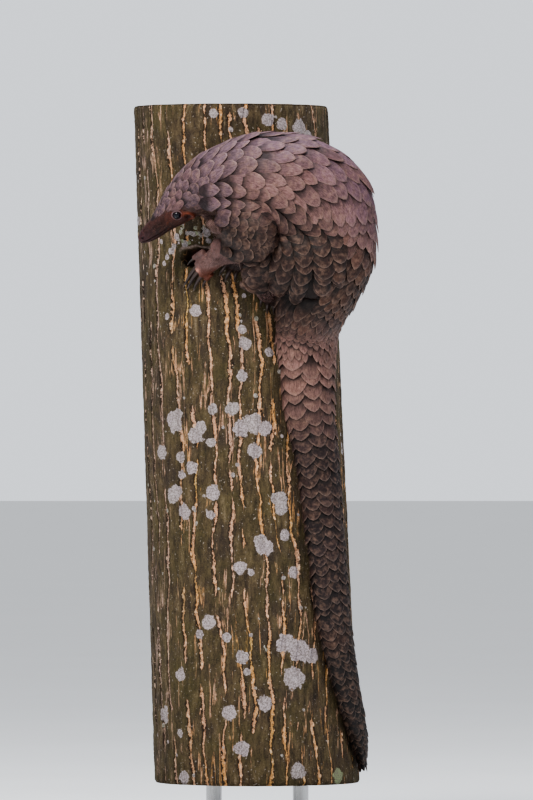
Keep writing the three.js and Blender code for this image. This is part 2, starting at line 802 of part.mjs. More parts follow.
// the line of the mouth, a shallow cut along both sides of the muzzle below its middle
function mouthCut() {
  const f = body.frame(MOUTH_LENGTH / 2);
  const plate = new THREE.BoxGeometry(MOUTH_LENGTH + 4, 40, MOUTH_WIDTH);
  const basis = new THREE.Matrix4().makeBasis(f.rear.clone().negate(), f.left, f.up.clone());
  const turn = new THREE.Quaternion().setFromRotationMatrix(basis);
  plate.applyQuaternion(turn);
  const c = f.centre.clone().addScaledVector(f.up, -0.46 * f.below).addScaledVector(f.rear, 1);
  plate.translate(c.x, c.y, c.z);
  const muzzle = smoothSkin(body, [1, 7, 15, 24, MOUTH_LENGTH + 6], 12);
  return fromGeometry(plate).subtract(grown(muzzle, -1.4));
}

// a place on the side of the head: how far behind the eye, and how far round from the crown
function onCheek(behind, degrees, side, lift) {
  const f = body.frame(STATION.eye + behind);
  const angle = rad(degrees);
  const high = Math.cos(angle) * ((Math.cos(angle) > 0 ? f.above : f.below) + lift);
  const p = f.centre.clone().addScaledVector(f.up, high);
  return p.addScaledVector(f.left, side * Math.sin(angle) * (f.side + lift));
}

// the fold of an ear, a crescent behind the eye, open to the front
function earFold(side) {
  const steps = 7;
  const line = [];
  for (let i = 0; i <= steps; i += 1) {
    const turn = lerp(rad(-84), rad(84), i / steps);
    const p = onCheek(4 + EAR_REACH * Math.cos(turn), 126 - 21 * Math.sin(turn), side, 0.6);
    const full = Math.sin((Math.PI * (i + 0.6)) / (steps + 1.2));
    const size = [2.3 * full + 0.5, 1.6 * full + 0.5, 1.5 * full + 0.5];
    line.push([p.x + ORIGIN.across, ORIGIN.down - p.z, p.y + ORIGIN.out, ...size, 0, 0]);
  }
  const tube = new Tube(line, { outer: body.frame(STATION.eye + 8).left.clone().multiplyScalar(side) });
  return smoothSkin(tube, evenly(0, tube.length, steps + 1), 5, [0.6, 0.6]);
}

// the hollow in front of an ear's fold
function earHollow(side) {
  const f = body.frame(STATION.eye + 7);
  const basis = new THREE.Matrix4().makeBasis(f.rear, f.up, f.left.clone().multiplyScalar(side));
  const turn = new THREE.Quaternion().setFromRotationMatrix(basis);
  return ball(onCheek(7, 126, side, 0.6), [2.4, 4.4, 2.4], 1, turn);
}

// Everything, in the order in which a piece gives way to those already there

function build() {
  const nodes = new Map();
  const put = (name, material, manifold) => nodes.set(name, { material, manifold });

  const rim = BASE_HEIGHT - 3;
  const profile = [[0, 0], [BASE_RADIUS, 0], [BASE_RADIUS, rim], [BASE_RADIUS - 3, BASE_HEIGHT], [0, BASE_HEIGHT]];
  const base = new THREE.LatheGeometry(profile.map(([r, z]) => new THREE.Vector2(r, z)), 32);
  base.rotateX(Math.PI / 2);
  put('stand_base', 'base', fromGeometry(base));
  const floorOfTrunk = ORIGIN.down - TRUNK_BOTTOM;
  for (const [side, name] of [[-1, 'left'], [1, 'right']]) {
    const height = floorOfTrunk - BASE_HEIGHT - 2 * GAP;
    const rod = new THREE.CylinderGeometry(ROD_RADIUS, ROD_RADIUS, height, 12);
    rod.rotateX(Math.PI / 2);
    const foot = at(trunkAcross(TRUNK_BOTTOM) + side * ROD_SPREAD, TRUNK_BOTTOM, 0);
    rod.translate(foot.x, foot.y, BASE_HEIGHT + GAP + height / 2);
    put(`stand_rod_${name}`, 'rod', fromGeometry(rod));
  }

  const trunk = tidied(knotHole(trunkSolid()));
  put('perch_trunk', 'bark', trunk);

  // the head
  const eyes = [1, -1].map((side) => ball(eyeCentre(side), [EYE_RADIUS, EYE_RADIUS, EYE_RADIUS], 1));
  let head = headSkin();
  head = head.subtract(mouthCut());
  for (const side of [1, -1]) {
    head = head.add(lidRing(side)).subtract(nostril(side)).subtract(earHollow(side));
  }
  for (const eye of eyes) head = head.subtract(grown(eye, 0.3));
  head = tidied(length(head, null, STATION.nape));
  const offHead = [grown(head), grown(head, 0.1), head];
  const ears = [1, -1].map((side) => joined(offHead.reduce((m, other) => m.subtract(other), earFold(side))));
  put('head', 'skin', head);
  put('eye_left', 'eye', eyes[0]);
  put('eye_right', 'eye', eyes[1]);
  put('ear_left', 'skin', ears[0]);
  put('ear_right', 'skin', ears[1]);

  // the neck, torso and rump
  put('neck', 'scale', length(neckSkin(), STATION.nape, STATION.neckEnd));
  put('torso', 'scale', length(torsoSkin(), STATION.neckEnd, STATION.rump));
  put('rump', 'scale', length(rumpSkin(), STATION.rump, S[16]));

  // the tail
  const tail = tailSkin();
  const cuts = [S[16], ...evenly(S[17] + 85, STATION.tip - 95, 3), null];
  for (let i = 1; i < cuts.length; i += 1) put(`tail_${i}`, 'scale', length(tail, cuts[i - 1], cuts[i]));

  // limbs give way to the body
  const around = (manifold) => [{ near: grown(manifold), itself: manifold }];
  const clear = (manifold, others) => {
    const cut = tidied(others.reduce((m, { near }) => m.subtract(near), manifold));
    const meets = (m) => others.filter(({ itself }) => m.intersect(itself).volume() > 0.0005);
    const wider = meets(cut).reduce((m, { itself }) => m.subtract(grown(itself, 0.25)), cut);
    return joined(meets(wider).reduce((m, { itself }) => m.subtract(itself), wider));
  };
  const bodyParts = [
    { near: neckSkin(0, GAP), itself: nodes.get('neck').manifold },
    { near: torsoSkin(0, GAP), itself: nodes.get('torso').manifold },
    { near: rumpSkin(0, GAP), itself: nodes.get('rump').manifold },
  ];
  const scaledLimb = (name, count, spacing, lift, end) => {
    const tube = limbs[name];
    return scaledSkin(tube, {
      rings: [0, 4],
      rows: rowsBetween(6, tube.length - spacing * 0.6, () => spacing),
      count,
      height: (s, share) => (round(share) < 0.7 ? raised * lift : 0),
      end,
    });
  };
  const limb = (name, manifold, others) => {
    put(name, 'scale', clear(manifold, [...bodyParts, ...others]));
    return around(nodes.get(name).manifold);
  };
  const thigh = limb('thigh_left', scaledLimb('thigh_left', 9, 12, SCALE_LIFT.leg, 5), []);
  const shank = limb('shank_left', scaledLimb('shank_left', 6, 13.4, SCALE_LIFT.leg * 0.8, 4), thigh);
  const armLeft = limb('arm_left', scaledLimb('arm_left', 8, 11.4, SCALE_LIFT.arm, 3), [...thigh, ...shank]);
  const armRight = limb('arm_right', scaledLimb('arm_right', 8, 10, SCALE_LIFT.arm, 3), []);
  const thighRight = limb('thigh_right', scaledLimb('thigh_right', 8, 12, SCALE_LIFT.leg * 0.8, 4), []);

  const limbParts = [...thigh, ...shank, ...armLeft, ...armRight, ...thighRight];

  // hands and feet
  const grownTrunk = grown(trunk, 0.3);
  for (const [name, foot] of Object.entries(feet)) {
    const tube = new Tube(foot.palm, { outer: foot.outer });
    let palm = smoothSkin(tube, evenly(0, tube.length, 4), 10, [1, 3]);
    for (const f of foot.fingers) palm = palm.add(finger(f));
    const others = [...bodyParts, ...limbParts];
    const claws = foot.fingers.map((f) => claw(f).subtract(grownTrunk));
    for (const c of claws) palm = palm.subtract(grown(c, 0.3));
    palm = clear(palm, [...others, { near: grownTrunk, itself: trunk }]);
    put(name, 'skin', palm);
    const side = name.endsWith('left') ? 'left' : 'right';
    const limbName = name.startsWith('hand') ? 'hand' : 'foot';
    const done = [];
    claws.forEach((c, i) => {
      const kept = clear(c, [...others, ...done]);
      done.push(...around(kept));
      put(`claw_${limbName}_${side}_${i + 1}`, 'claw', kept);
    });
  }
  return nodes;
}

function toMesh(name, { material, manifold }) {
  const { points, triangles } = read(manifold);
  const geometry = new THREE.BufferGeometry();
  const places = points.flatMap((p) => [p.x, p.y, p.z]);
  geometry.setAttribute('position', new THREE.Float32BufferAttribute(places, 3));
  geometry.setIndex(triangles.flat());
  geometry.computeVertexNormals();
  const [color, roughness, metalness] = materials[material];
  const mesh = new THREE.Mesh(geometry, new THREE.MeshStandardMaterial({ color, roughness, metalness }));
  mesh.name = name;
  return mesh;
}

const pangolin = new THREE.Group();
pangolin.name = 'pangolin';
for (const [name, node] of build()) pangolin.add(toMesh(name, node));

export default pangolin;
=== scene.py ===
"""A life-size white-bellied tree pangolin clinging to a cut length of trunk, on a plain stand."""

import math

import bpy
import numpy as np
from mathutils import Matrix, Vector
from mathutils.bvhtree import BVHTree


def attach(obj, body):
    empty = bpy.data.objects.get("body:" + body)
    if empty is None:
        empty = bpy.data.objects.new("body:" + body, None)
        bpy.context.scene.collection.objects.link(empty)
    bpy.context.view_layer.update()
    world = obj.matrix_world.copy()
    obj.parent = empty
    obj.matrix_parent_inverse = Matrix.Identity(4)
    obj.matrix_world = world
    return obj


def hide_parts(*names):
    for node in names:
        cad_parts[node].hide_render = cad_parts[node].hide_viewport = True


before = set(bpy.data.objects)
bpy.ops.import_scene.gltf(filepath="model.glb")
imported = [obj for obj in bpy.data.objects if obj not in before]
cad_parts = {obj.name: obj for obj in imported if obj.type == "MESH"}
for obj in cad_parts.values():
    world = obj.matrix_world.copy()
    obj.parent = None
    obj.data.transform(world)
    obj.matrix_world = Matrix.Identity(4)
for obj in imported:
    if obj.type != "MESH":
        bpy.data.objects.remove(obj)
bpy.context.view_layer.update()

# Shapes are worked out in millimetres. A place is given by how far across and down it is in the side
# view, and how far out from the trunk's axis, where minus is towards the viewer.
ACROSS, DOWN, OUT = 256.0, 842.0, -50.0
MM = 0.001

TRUNK_TOP, TRUNK_BOTTOM = 102.0, 788.0
BASE_RADIUS, BASE_HEIGHT = 160.0, 16.0
ROD_RADIUS, ROD_SPREAD = 8.0, 44.0

EYE_RADIUS = 4.1
LID_RADIUS = 4.75

CAMERA_DISTANCE, SENSOR, PIXELS = 9000.0, 36.0, (533, 800)
SHARP_PLANE = -95.0  # one pixel of the picture is 1 mm here
SQUARE = 2.15  # how square the bodies and limbs are across, where 2 is round
MISS = 99.0  # what a ray that meets nothing has found
ATLAS_PATCH = 0.0015  # half the size of a scale's or hair's place on the unwrap


def at(across, down, out=0.0):
    return np.array([across - ACROSS, out - OUT, DOWN - down])


def smooth(low, high, x):
    t = np.clip((np.asarray(x, float) - low) / (high - low), 0, 1)
    return t * t * (3 - 2 * t)


def lerp(a, b, t):
    return a + (b - a) * t


def unit(v):
    return v / np.maximum(np.linalg.norm(v, axis=-1, keepdims=True), 1e-9)


def trunk_across(down):
    return 226.5 + 0.0389 * down


def trunk_radius(down):
    return 97.5 + 0.0081 * down


# Smooth random values over space


def _hash(i, j, k, seed):
    n = (i * 73856093) ^ (j * 19349663) ^ (k * 83492791) ^ (seed * 2654435761 & 0xFFFFFFFF)
    n = (n ^ (n >> 13)) * 1274126177 & 0xFFFFFFFF
    n = (n ^ (n >> 16)) * 2246822519 & 0xFFFFFFFF
    return (n >> 8 & 0xFFFF) / 65535.0


def noise(points, size, seed=0):
    """Values from -1 to 1 that change over about one size."""
    p = np.asarray(points, float) / size
    base = np.floor(p).astype(np.int64)
    t = p - base
    t = t * t * (3 - 2 * t)
    total = 0.0
    for corner in range(8):
        o = [(corner >> b) & 1 for b in range(3)]
        weight = 1.0
        for b in range(3):
            weight = weight * (t[..., b] if o[b] else 1 - t[..., b])
        total = total + weight * _hash(base[..., 0] + o[0], base[..., 1] + o[1], base[..., 2] + o[2], seed)
    return 2 * total - 1


def layered(points, size, seed=0, octaves=3):
    total, share = 0.0, 0.0
    for k in range(octaves):
        total = total + noise(points, size / 2**k, seed + 17 * k) / 2**k
        share += 1 / 2**k
    return total / share


# Meshes


def make(name, points, faces, material=None, shade=True, values=None, colours=None):
    """A mesh object from points in millimetres, with named numbers and colours on its vertices."""
    mesh = bpy.data.meshes.new(name)
    faces = [np.asarray(f, np.int64) for f in faces if len(f)]
    points = np.asarray(points, float) * MM
    mesh.vertices.add(len(points))
    mesh.vertices.foreach_set("co", points.astype(np.float32).ravel())
    loops = np.concatenate([f.ravel() for f in faces])
    sizes = np.concatenate([np.full(len(f), f.shape[1]) for f in faces])
    mesh.loops.add(len(loops))
    mesh.loops.foreach_set("vertex_index", loops.astype(np.int32))
    mesh.polygons.add(len(sizes))
    starts = np.concatenate([[0], np.cumsum(sizes)[:-1]])
    mesh.polygons.foreach_set("loop_start", starts.astype(np.int32))
    mesh.polygons.foreach_set("loop_total", sizes.astype(np.int32))
    mesh.update(calc_edges=True)
    mesh.validate()
    mesh.polygons.foreach_set("use_smooth", np.full(len(mesh.polygons), shade))
    for key, numbers in (values or {}).items():
        numbers = np.asarray(numbers, np.float32)
        kind = "FLOAT" if numbers.ndim == 1 else "FLOAT_VECTOR"
        mesh.attributes.new(key, kind, "POINT").data.foreach_set(
            "value" if numbers.ndim == 1 else "vector", numbers.ravel()
        )
    for key, numbers in (colours or {}).items():
        rgba = np.column_stack([numbers, np.ones(len(numbers))]).astype(np.float32)
        mesh.attributes.new(key, "FLOAT_COLOR", "POINT").data.foreach_set("color", rgba.ravel())
    thing = bpy.data.objects.new(name, mesh)
    bpy.context.scene.collection.objects.link(thing)
    if material:
        mesh.materials.append(material)
    return thing


def read(thing):
    """An object's points in millimetres and its triangles, with its modifiers applied."""
    graph = bpy.context.evaluated_depsgraph_get()
    mesh = thing.evaluated_get(graph).to_mesh()
    mesh.calc_loop_triangles()
    points = np.empty(len(mesh.vertices) * 3, np.float32)
    mesh.vertices.foreach_get("co", points)
    triangles = np.empty(len(mesh.loop_triangles) * 3, np.int32)
    mesh.loop_triangles.foreach_get("vertices", triangles)
    thing.evaluated_get(graph).to_mesh_clear()
    return points.reshape(-1, 3).astype(float) / MM, triangles.reshape(-1, 3)


def grid_faces(rows, columns, closed=True, start=0):
    i, j = np.meshgrid(np.arange(rows - 1), np.arange(columns if closed else columns - 1), indexing="ij")
    n = (j + 1) % columns
    a, b = start + i * columns + j, start + i * columns + n
    c, d = start + (i + 1) * columns + n, start + (i + 1) * columns + j
    return np.stack([a, d, c, b], -1).reshape(-1, 4)


def fan(ring, centre, flip=False):
    ring = np.asarray(ring)
    after = np.roll(ring, -1)
    mid = np.full(len(ring), centre)
    return np.column_stack([ring, mid, after] if flip else [ring, after, mid])


# A tube: a body or limb along a smooth line, through stations of
# across, down, out, radius above, radius below and radius to each side, and where they aren't 0,
# roll in degrees and wrap


class Tube:
    def __init__(self, stations, left=None, outer=None, ends=(8, 14), step=0.5, around=256):
        a = np.array([[*row, 0, 0][:8] for row in stations], float)
        self.c = np.column_stack([a[:, 0] - ACROSS, a[:, 2] - OUT, DOWN - a[:, 1], a[:, 3:]])
        gaps = np.linalg.norm(np.diff(self.c[:, :3], axis=0), axis=1)
        self.knots = np.concatenate([[0], np.cumsum(gaps)])
        self.length = self.knots[-1]
        n = len(self.knots)
        before, after = np.maximum(np.arange(n) - 1, 0), np.minimum(np.arange(n) + 1, n - 1)
        self.slope = (self.c[after] - self.c[before]) / (self.knots[after] - self.knots[before])[:, None]
        self.left = None if left is None else np.array(left, float)
        self.outer = None if outer is None else np.array(outer, float)
        self.start = -ends[0]
        self.step = step
        self.around = around
        self.s = np.arange(self.start, self.length + ends[1], step)
        self.build()

    def value(self, s):
        i = np.clip(np.searchsorted(self.knots, s, side="left") - 1, 0, len(self.knots) - 2)
        span = self.knots[i + 1] - self.knots[i]
        t = np.clip((s - self.knots[i]) / span, 0, 1)[:, None]
        span = span[:, None]
        return (
            (2 * t**3 - 3 * t**2 + 1) * self.c[i]
            + (t**3 - 2 * t**2 + t) * span * self.slope[i]
            + (3 * t**2 - 2 * t**3) * self.c[i + 1]
            + (t**3 - t**2) * span * self.slope[i + 1]
        )

    def frame(self, s):
        s = np.atleast_1d(np.asarray(s, float))
        k = np.clip(s, 0, self.length)
        q = self.value(k)
        ahead, behind = self.value(np.minimum(k + 0.5, self.length)), self.value(np.maximum(k - 0.5, 0))
        rear = unit(ahead[:, :3] - behind[:, :3])
        if self.left is not None:
            left = unit(self.left - rear * (rear @ self.left)[:, None])
            up = np.cross(-rear, left)
        else:
            up = unit(self.outer - rear * (rear @ self.outer)[:, None])
            left = np.cross(up, -rear)
        roll = np.radians(q[:, 6])[:, None]
        turned_up = up * np.cos(roll) + left * np.sin(roll)
        turned_left = left * np.cos(roll) - up * np.sin(roll)
        centre = q[:, :3] + rear * (s - k)[:, None]
        return centre, rear, turned_up, turned_left, q[:, 3], q[:, 4], q[:, 5], q[:, 7]

    def build(self):
        centre, _, up, left, above, below, side, wrap = self.frame(self.s)
        angle = np.linspace(0, 2 * np.pi, 193)
        power = 2 / SQUARE
        c, d = np.cos(angle), np.sin(angle)
        x = np.sign(d) * np.abs(d) ** power * side[:, None]
        high = np.sign(c) * np.abs(c) ** power * np.where(c > 0, above[:, None], below[:, None])
        y = high - wrap[:, None] * x * x
        run = np.concatenate([np.zeros((len(self.s), 1)), np.cumsum(np.hypot(np.diff(x), np.diff(y)), 1)], 1)
        self.girth = run[:, -1]
        share = np.arange(self.around) / self.around
        gx, gy = np.empty((len(self.s), self.around)), np.empty((len(self.s), self.around))
        for i in range(len(self.s)):
            gx[i] = np.interp(share * self.girth[i], run[i], x[i])
            gy[i] = np.interp(share * self.girth[i], run[i], y[i])
        self.table = centre[:, None] + left[:, None] * gx[..., None] + up[:, None] * gy[..., None]
        along = np.gradient(self.table, self.step, axis=0)
        across = np.roll(self.table, -1, 1) - np.roll(self.table, 1, 1)
        self.stretch = np.linalg.norm(along, axis=2)
        self.normals = unit(np.cross(across, along))
        out = np.sign(np.sum(self.normals * (self.table - centre[:, None]), axis=2, keepdims=True).mean())
        self.normals *= out

    def sample(self, s, share, *tables):
        """Point and normal (or other tables) at a distance along and a share of the way round."""
        fi = np.clip((np.asarray(s, float) - self.start) / self.step, 0, len(self.s) - 1.001)
        fj = (np.asarray(share, float) % 1.0) * self.around
        i, j = fi.astype(int), fj.astype(int) % self.around
        u, v = fi - i, fj - np.floor(fj)
        n = (j + 1) % self.around
        found = []
        for table in tables or (self.table, self.normals):
            uu, vv = (u[..., None], v[..., None]) if table.ndim == 3 else (u, v)
            found.append(
                (1 - uu) * ((1 - vv) * table[i, j] + vv * table[i, n])
                + uu * ((1 - vv) * table[i + 1, j] + vv * table[i + 1, n])
            )
        return found

    def girth_at(self, s):
        return np.interp(s, self.s, self.girth)

    def shell(self, s, columns, sink=0.0):
        """Points and faces of a closed skin through rings at s."""
        s = np.asarray(s, float)
        share = np.arange(columns) / columns
        p, n = self.sample(np.repeat(s, columns), np.tile(share, len(s)))
        p = p - n * np.broadcast_to(np.repeat(np.broadcast_to(sink, s.shape), columns)[:, None], p.shape)
        faces = grid_faces(len(s), columns)
        front, _, _, _, _, _, _, _ = self.frame([s[0] - 0.8])
        back, _, _, _, _, _, _, _ = self.frame([s[-1] + 0.8])
        points = np.concatenate([p, front, back])
        k = len(p)
        caps = np.concatenate(
            [fan(np.arange(columns), k, True), fan(np.arange(k - columns, k), k + 1)]
        )
        return points, faces, caps


def tail_station(across, down, above, below, side):
    x = across - trunk_across(down)
    reach = trunk_radius(down) + below + 3.4
    out = -math.sqrt(reach * reach - x * x)
    roll = 90 - math.degrees(math.atan2(x, -out))
    return [across, down, out, above, below, side, roll, 0.5 / reach]


BODY = [
    [139.5, 240.5, -122, 3.0, 3.0, 3.4, 18, 0],
    [145.3, 235.7, -123, 7.2, 7.2, 6.8, 18, 0],
    [153.8, 229.0, -124, 9.5, 9.5, 9.0, 18, 0],
    [162.0, 221.5, -125.5, 11.6, 11.4, 11.6, 18, 0],
    [173.0, 210.0, -128, 15.8, 17.2, 17.0, 18, 0],
    [186.0, 196.0, -131, 19.5, 26.0, 21.5, 15, 0],
    [200.0, 185.0, -134, 23.5, 38.0, 26.0, 9, 0],
    [218.0, 179.0, -138, 30.5, 50.0, 32.5, 4, 0],
    [240.0, 180.0, -142.5, 42.5, 51.0, 39.5],
    [265.0, 185.0, -144.5, 50.5, 49.0, 44.0],
    [290.0, 195.0, -141, 59.0, 50.0, 45.5],
    [310.0, 213.0, -133.5, 61.5, 49.0, 46.0],
    [321.0, 237.0, -124.5, 53.5, 47.0, 45.0, 3, 0],
    [322.5, 262.0, -121, 47.5, 45.0, 42.5, 8, 0],
    [318.0, 286.0, -119, 39.0, 41.0, 39.0, 20, 0],
    [312.0, 308.0, -112, 31.0, 30.0, 35.5, 38, 0.001],
    tail_station(309, 330, 23, 17, 32),
    tail_station(308.5, 350, 19, 12, 31),
    tail_station(310, 405, 17, 11, 27),
    tail_station(317, 452, 15, 10, 24),
    tail_station(323, 509, 13.5, 9, 22),
    tail_station(328.5, 560, 12.5, 8.5, 21),
    tail_station(334, 619, 12, 8, 20),
    tail_station(341, 660, 11, 7.3, 17.5),
    tail_station(347.5, 692, 10, 6.8, 15.5),
    tail_station(355, 724, 8.6, 6, 13),
    tail_station(361, 750, 6.6, 5, 9.6),
    tail_station(363, 767, 3.4, 3, 4.6),
]
body = Tube(BODY, left=(0, -1, 0))
S = body.knots
EYE, NAPE, NECK_END, RUMP, ROOT, TAIL, TIP = S[4], S[6], S[8], S[12], S[15], S[17], S[27]
EYE_RING = EYE + 1.5  # how far along the eyeballs sit

limbs = {
    "arm_left": Tube(
        [
            [234, 202, -163, 13, 14, 21],
            [242, 219, -172, 15, 14, 25],
            [254, 235, -176, 15.5, 14, 22],
            [258, 246, -170, 15.5, 14, 17],
            [245, 248, -155, 14, 13, 16],
            [231, 249, -138, 12, 11, 14],
            [221, 252, -128, 10, 9.5, 12.5],
        ],
        outer=(-0.4, -1, 0.1),
    ),
    "arm_right": Tube(
        [
            [240, 212, -125, 10, 10, 12],
            [255, 226, -117, 10, 10, 12],
            [259, 238, -113, 10, 9, 11.5],
            [253, 247, -111, 9.5, 8.5, 11],
            [246, 253, -110, 8.5, 8, 10],
        ],
        outer=(0.3, -1, 0.2),
    ),
    "thigh_left": Tube(
        [
            [313, 222, -150, 12, 12, 24],
            [311, 238, -157, 17, 16, 36],
            [308, 256, -161, 19, 18, 38],
            [304, 274, -159, 18, 17, 35],
            [301, 290, -153, 14, 15, 29],
        ],
        outer=(0, -1, 0),
    ),
    "shank_left": Tube(
        [
            [285, 246, -146, 12, 12, 15],
            [273, 256, -152, 15, 15, 17],
            [263, 267, -148, 15, 15, 16.5],
            [260, 280, -137, 13, 13, 14.5],
        ],
        outer=(0, -1, 0),
    ),
    "thigh_right": Tube(
        [
            [335, 245, -88, 12, 14, 20],
            [344, 260, -80, 14, 14, 22],
            [346, 276, -74, 12, 12, 18],
            [343, 288, -68, 9, 9, 14],
        ],
        outer=(0.8, 0.6, 0),
    ),
}

FEET = {
    "hand_left": {
        "palm": [
            [222, 253, -128, 8.5, 8.5, 11],
            [212, 260, -116, 7.2, 7.2, 10.5],
            [204, 267, -106, 6.2, 6.2, 9.5],
        ],
        "outer": (-0.5, -1, 0.4),
        "fingers": [
            ([207, 256, -111], [197, 264, -103], [183, 286], 4.3, 3.0),
            ([206, 262, -108], [198, 269, -102], [187, 288], 4.6, 3.1),
            ([207, 268, -106], [201, 274, -101], [193, 290], 4.2, 2.7),
            ([210, 273, -106], [206, 278, -101], [202, 287], 3.4, 1.8),
            ([203, 252, -113], [194, 257, -104], [187, 264], 3.2, 1.7),
        ],
    },
    "hand_right": {
        "palm": [
            [247, 252, -110.5, 7, 7, 9.5],
            [241, 258, -108, 7, 6.5, 11],
            [237, 263, -106.5, 6, 6, 10],
        ],
        "outer": (0, -1, 0.2),
        "fingers": [
            ([232, 259, -106], [226, 263, -104], [219, 275], 3.9, 2.7),
            ([235, 262, -106], [230, 268, -104], [225, 281], 4.2, 2.9),
            ([240, 264, -106], [237, 270, -104], [234, 281], 3.9, 2.6),
        ],
    },
    "foot_left": {
        "palm": [
            [262, 275, -139, 8, 8, 9],
            [265, 288, -123, 8, 8, 11.5],
            [270, 296, -109, 7, 7, 11],
        ],
        "outer": (-0.4, -1, 0),
        "fingers": [
            ([263, 293, -112], [262, 298, -104], [260, 307], 3.9, 2.3),
            ([268, 297, -109], [268, 303, -102], [267, 313], 4.2, 2.5),
            ([273, 298, -107], [274, 304, -100], [274, 314], 4.0, 2.4),
            ([277, 295, -106], [280, 300, -98], [281, 308], 3.4, 2.0),
        ],
    },
    "foot_right": {
        "palm": [
            [344, 287, -66, 7.5, 7.5, 10],
            [346, 297, -58, 7.5, 7.5, 10.5],
            [348, 306, -50, 7, 7, 11.5],
        ],
        "outer": (1, -0.3, 0),
        "fingers": [
            ([349, 303, -57], [346, 310, -56], [344, 320], 4.0, 2.3),
            ([348, 306, -49], [346, 313, -46], [345, 324], 4.2, 2.4),
            ([348, 305, -42], [346, 311, -37], [345, 321], 4.0, 2.3),
        ],
    },
}


def on_bark(across, down, lift):
    x = across - trunk_across(down)
    reach = trunk_radius(down) + lift
    return [across, down, -math.sqrt(max(reach * reach - x * x, 1))]


# Materials


def material(name):
    made = bpy.data.materials.new(name)
    made.use_nodes = True
    nodes = made.node_tree.nodes
    return made, nodes, made.node_tree.links, nodes["Principled BSDF"]


class Graph:
    """Short names for the nodes of one material."""

    def __init__(self, name):
        self.material, self.nodes, self.links, self.shader = material(name)

    def put(self, socket, value):
        if hasattr(value, "is_output"):
            self.links.new(value, socket)
        elif value is not None:
            if hasattr(socket.default_value, "__len__") and not hasattr(value, "__len__"):
                value = [value] * len(socket.default_value)
            if hasattr(value, "__len__") and len(value) == 3 and len(socket.default_value) == 4:
                value = [*value, 1.0]
            socket.default_value = value

    def node(self, kind, output, **inputs):
        node = self.nodes.new("ShaderNode" + kind)
        for name, value in inputs.items():
            self.put(node.inputs[name], value)
        return node.outputs[output]

    def attribute(self, name, kind="Fac"):
        node = self.nodes.new("ShaderNodeAttribute")
        node.attribute_name = name
        return node.outputs[kind]

    def object_place(self):
        return self.node("TexCoord", "Object")

    def scaled(self, vector, scale):
        return self.node("Mapping", "Vector", Vector=vector, Scale=scale)

    def noise(self, vector, scale, detail=4.0, rough=0.55):
        return self.node("TexNoise", "Fac", Vector=vector, Scale=scale, Detail=detail, Roughness=rough)

    def voronoi(self, vector, scale, feature="F1"):
        node = self.nodes.new("ShaderNodeTexVoronoi")
        node.feature = feature
        self.links.new(vector, node.inputs["Vector"])
        node.inputs["Scale"].default_value = scale
        return node.outputs["Distance"]

    def math(self, kind, a, b=None, c=None, clamp=False):
        node = self.nodes.new("ShaderNodeMath")
        node.operation = kind
        node.use_clamp = clamp
        for socket, value in zip(node.inputs, (a, b, c)):
            self.put(socket, value)
        return node.outputs[0]

    def ramp(self, value, stops):
        node = self.nodes.new("ShaderNodeValToRGB")
        ramp = node.color_ramp
        while len(ramp.elements) < len(stops):
            ramp.elements.new(0.5)
        for element, (place, colour) in zip(ramp.elements, stops):
            element.position = place
            element.color = [*colour, 1.0] if hasattr(colour, "__len__") else [colour] * 3 + [1.0]
        self.links.new(value, node.inputs["Fac"])
        return node.outputs["Color"]

    def mix(self, share, a, b, kind="MIX"):
        node = self.nodes.new("ShaderNodeMix")
        node.data_type = "RGBA"
        node.blend_type = kind
        self.put(node.inputs["Factor"], share)
        self.put(node.inputs["A"], a)
        self.put(node.inputs["B"], b)
        return node.outputs["Result"]

    def over(self, colour, value, stops, other, kind="MIX"):
        """A colour with another laid over it, as far as a ramp of some value says."""
        return self.mix(self.ramp(value, stops), colour, other, kind)

    def bump(self, height, strength=0.3, distance=0.0005, under=None):
        return self.node("Bump", "Normal", Strength=strength, Distance=distance, Height=height, Normal=under)

    def finish(self, colour=None, rough=None, normal=None, **rest):
        self.put(self.shader.inputs["Base Color"], colour)
        self.put(self.shader.inputs["Roughness"], rough)
        self.put(self.shader.inputs["Normal"], normal)
        for key, value in rest.items():
            self.put(self.shader.inputs[key.replace("_", " ")], value)
        return self.material


def srgb(r, g, b):
    c = np.array([r, g, b], float) / 255
    return np.where(c <= 0.04045, c / 12.92, ((c + 0.055) / 1.055) ** 2.4)


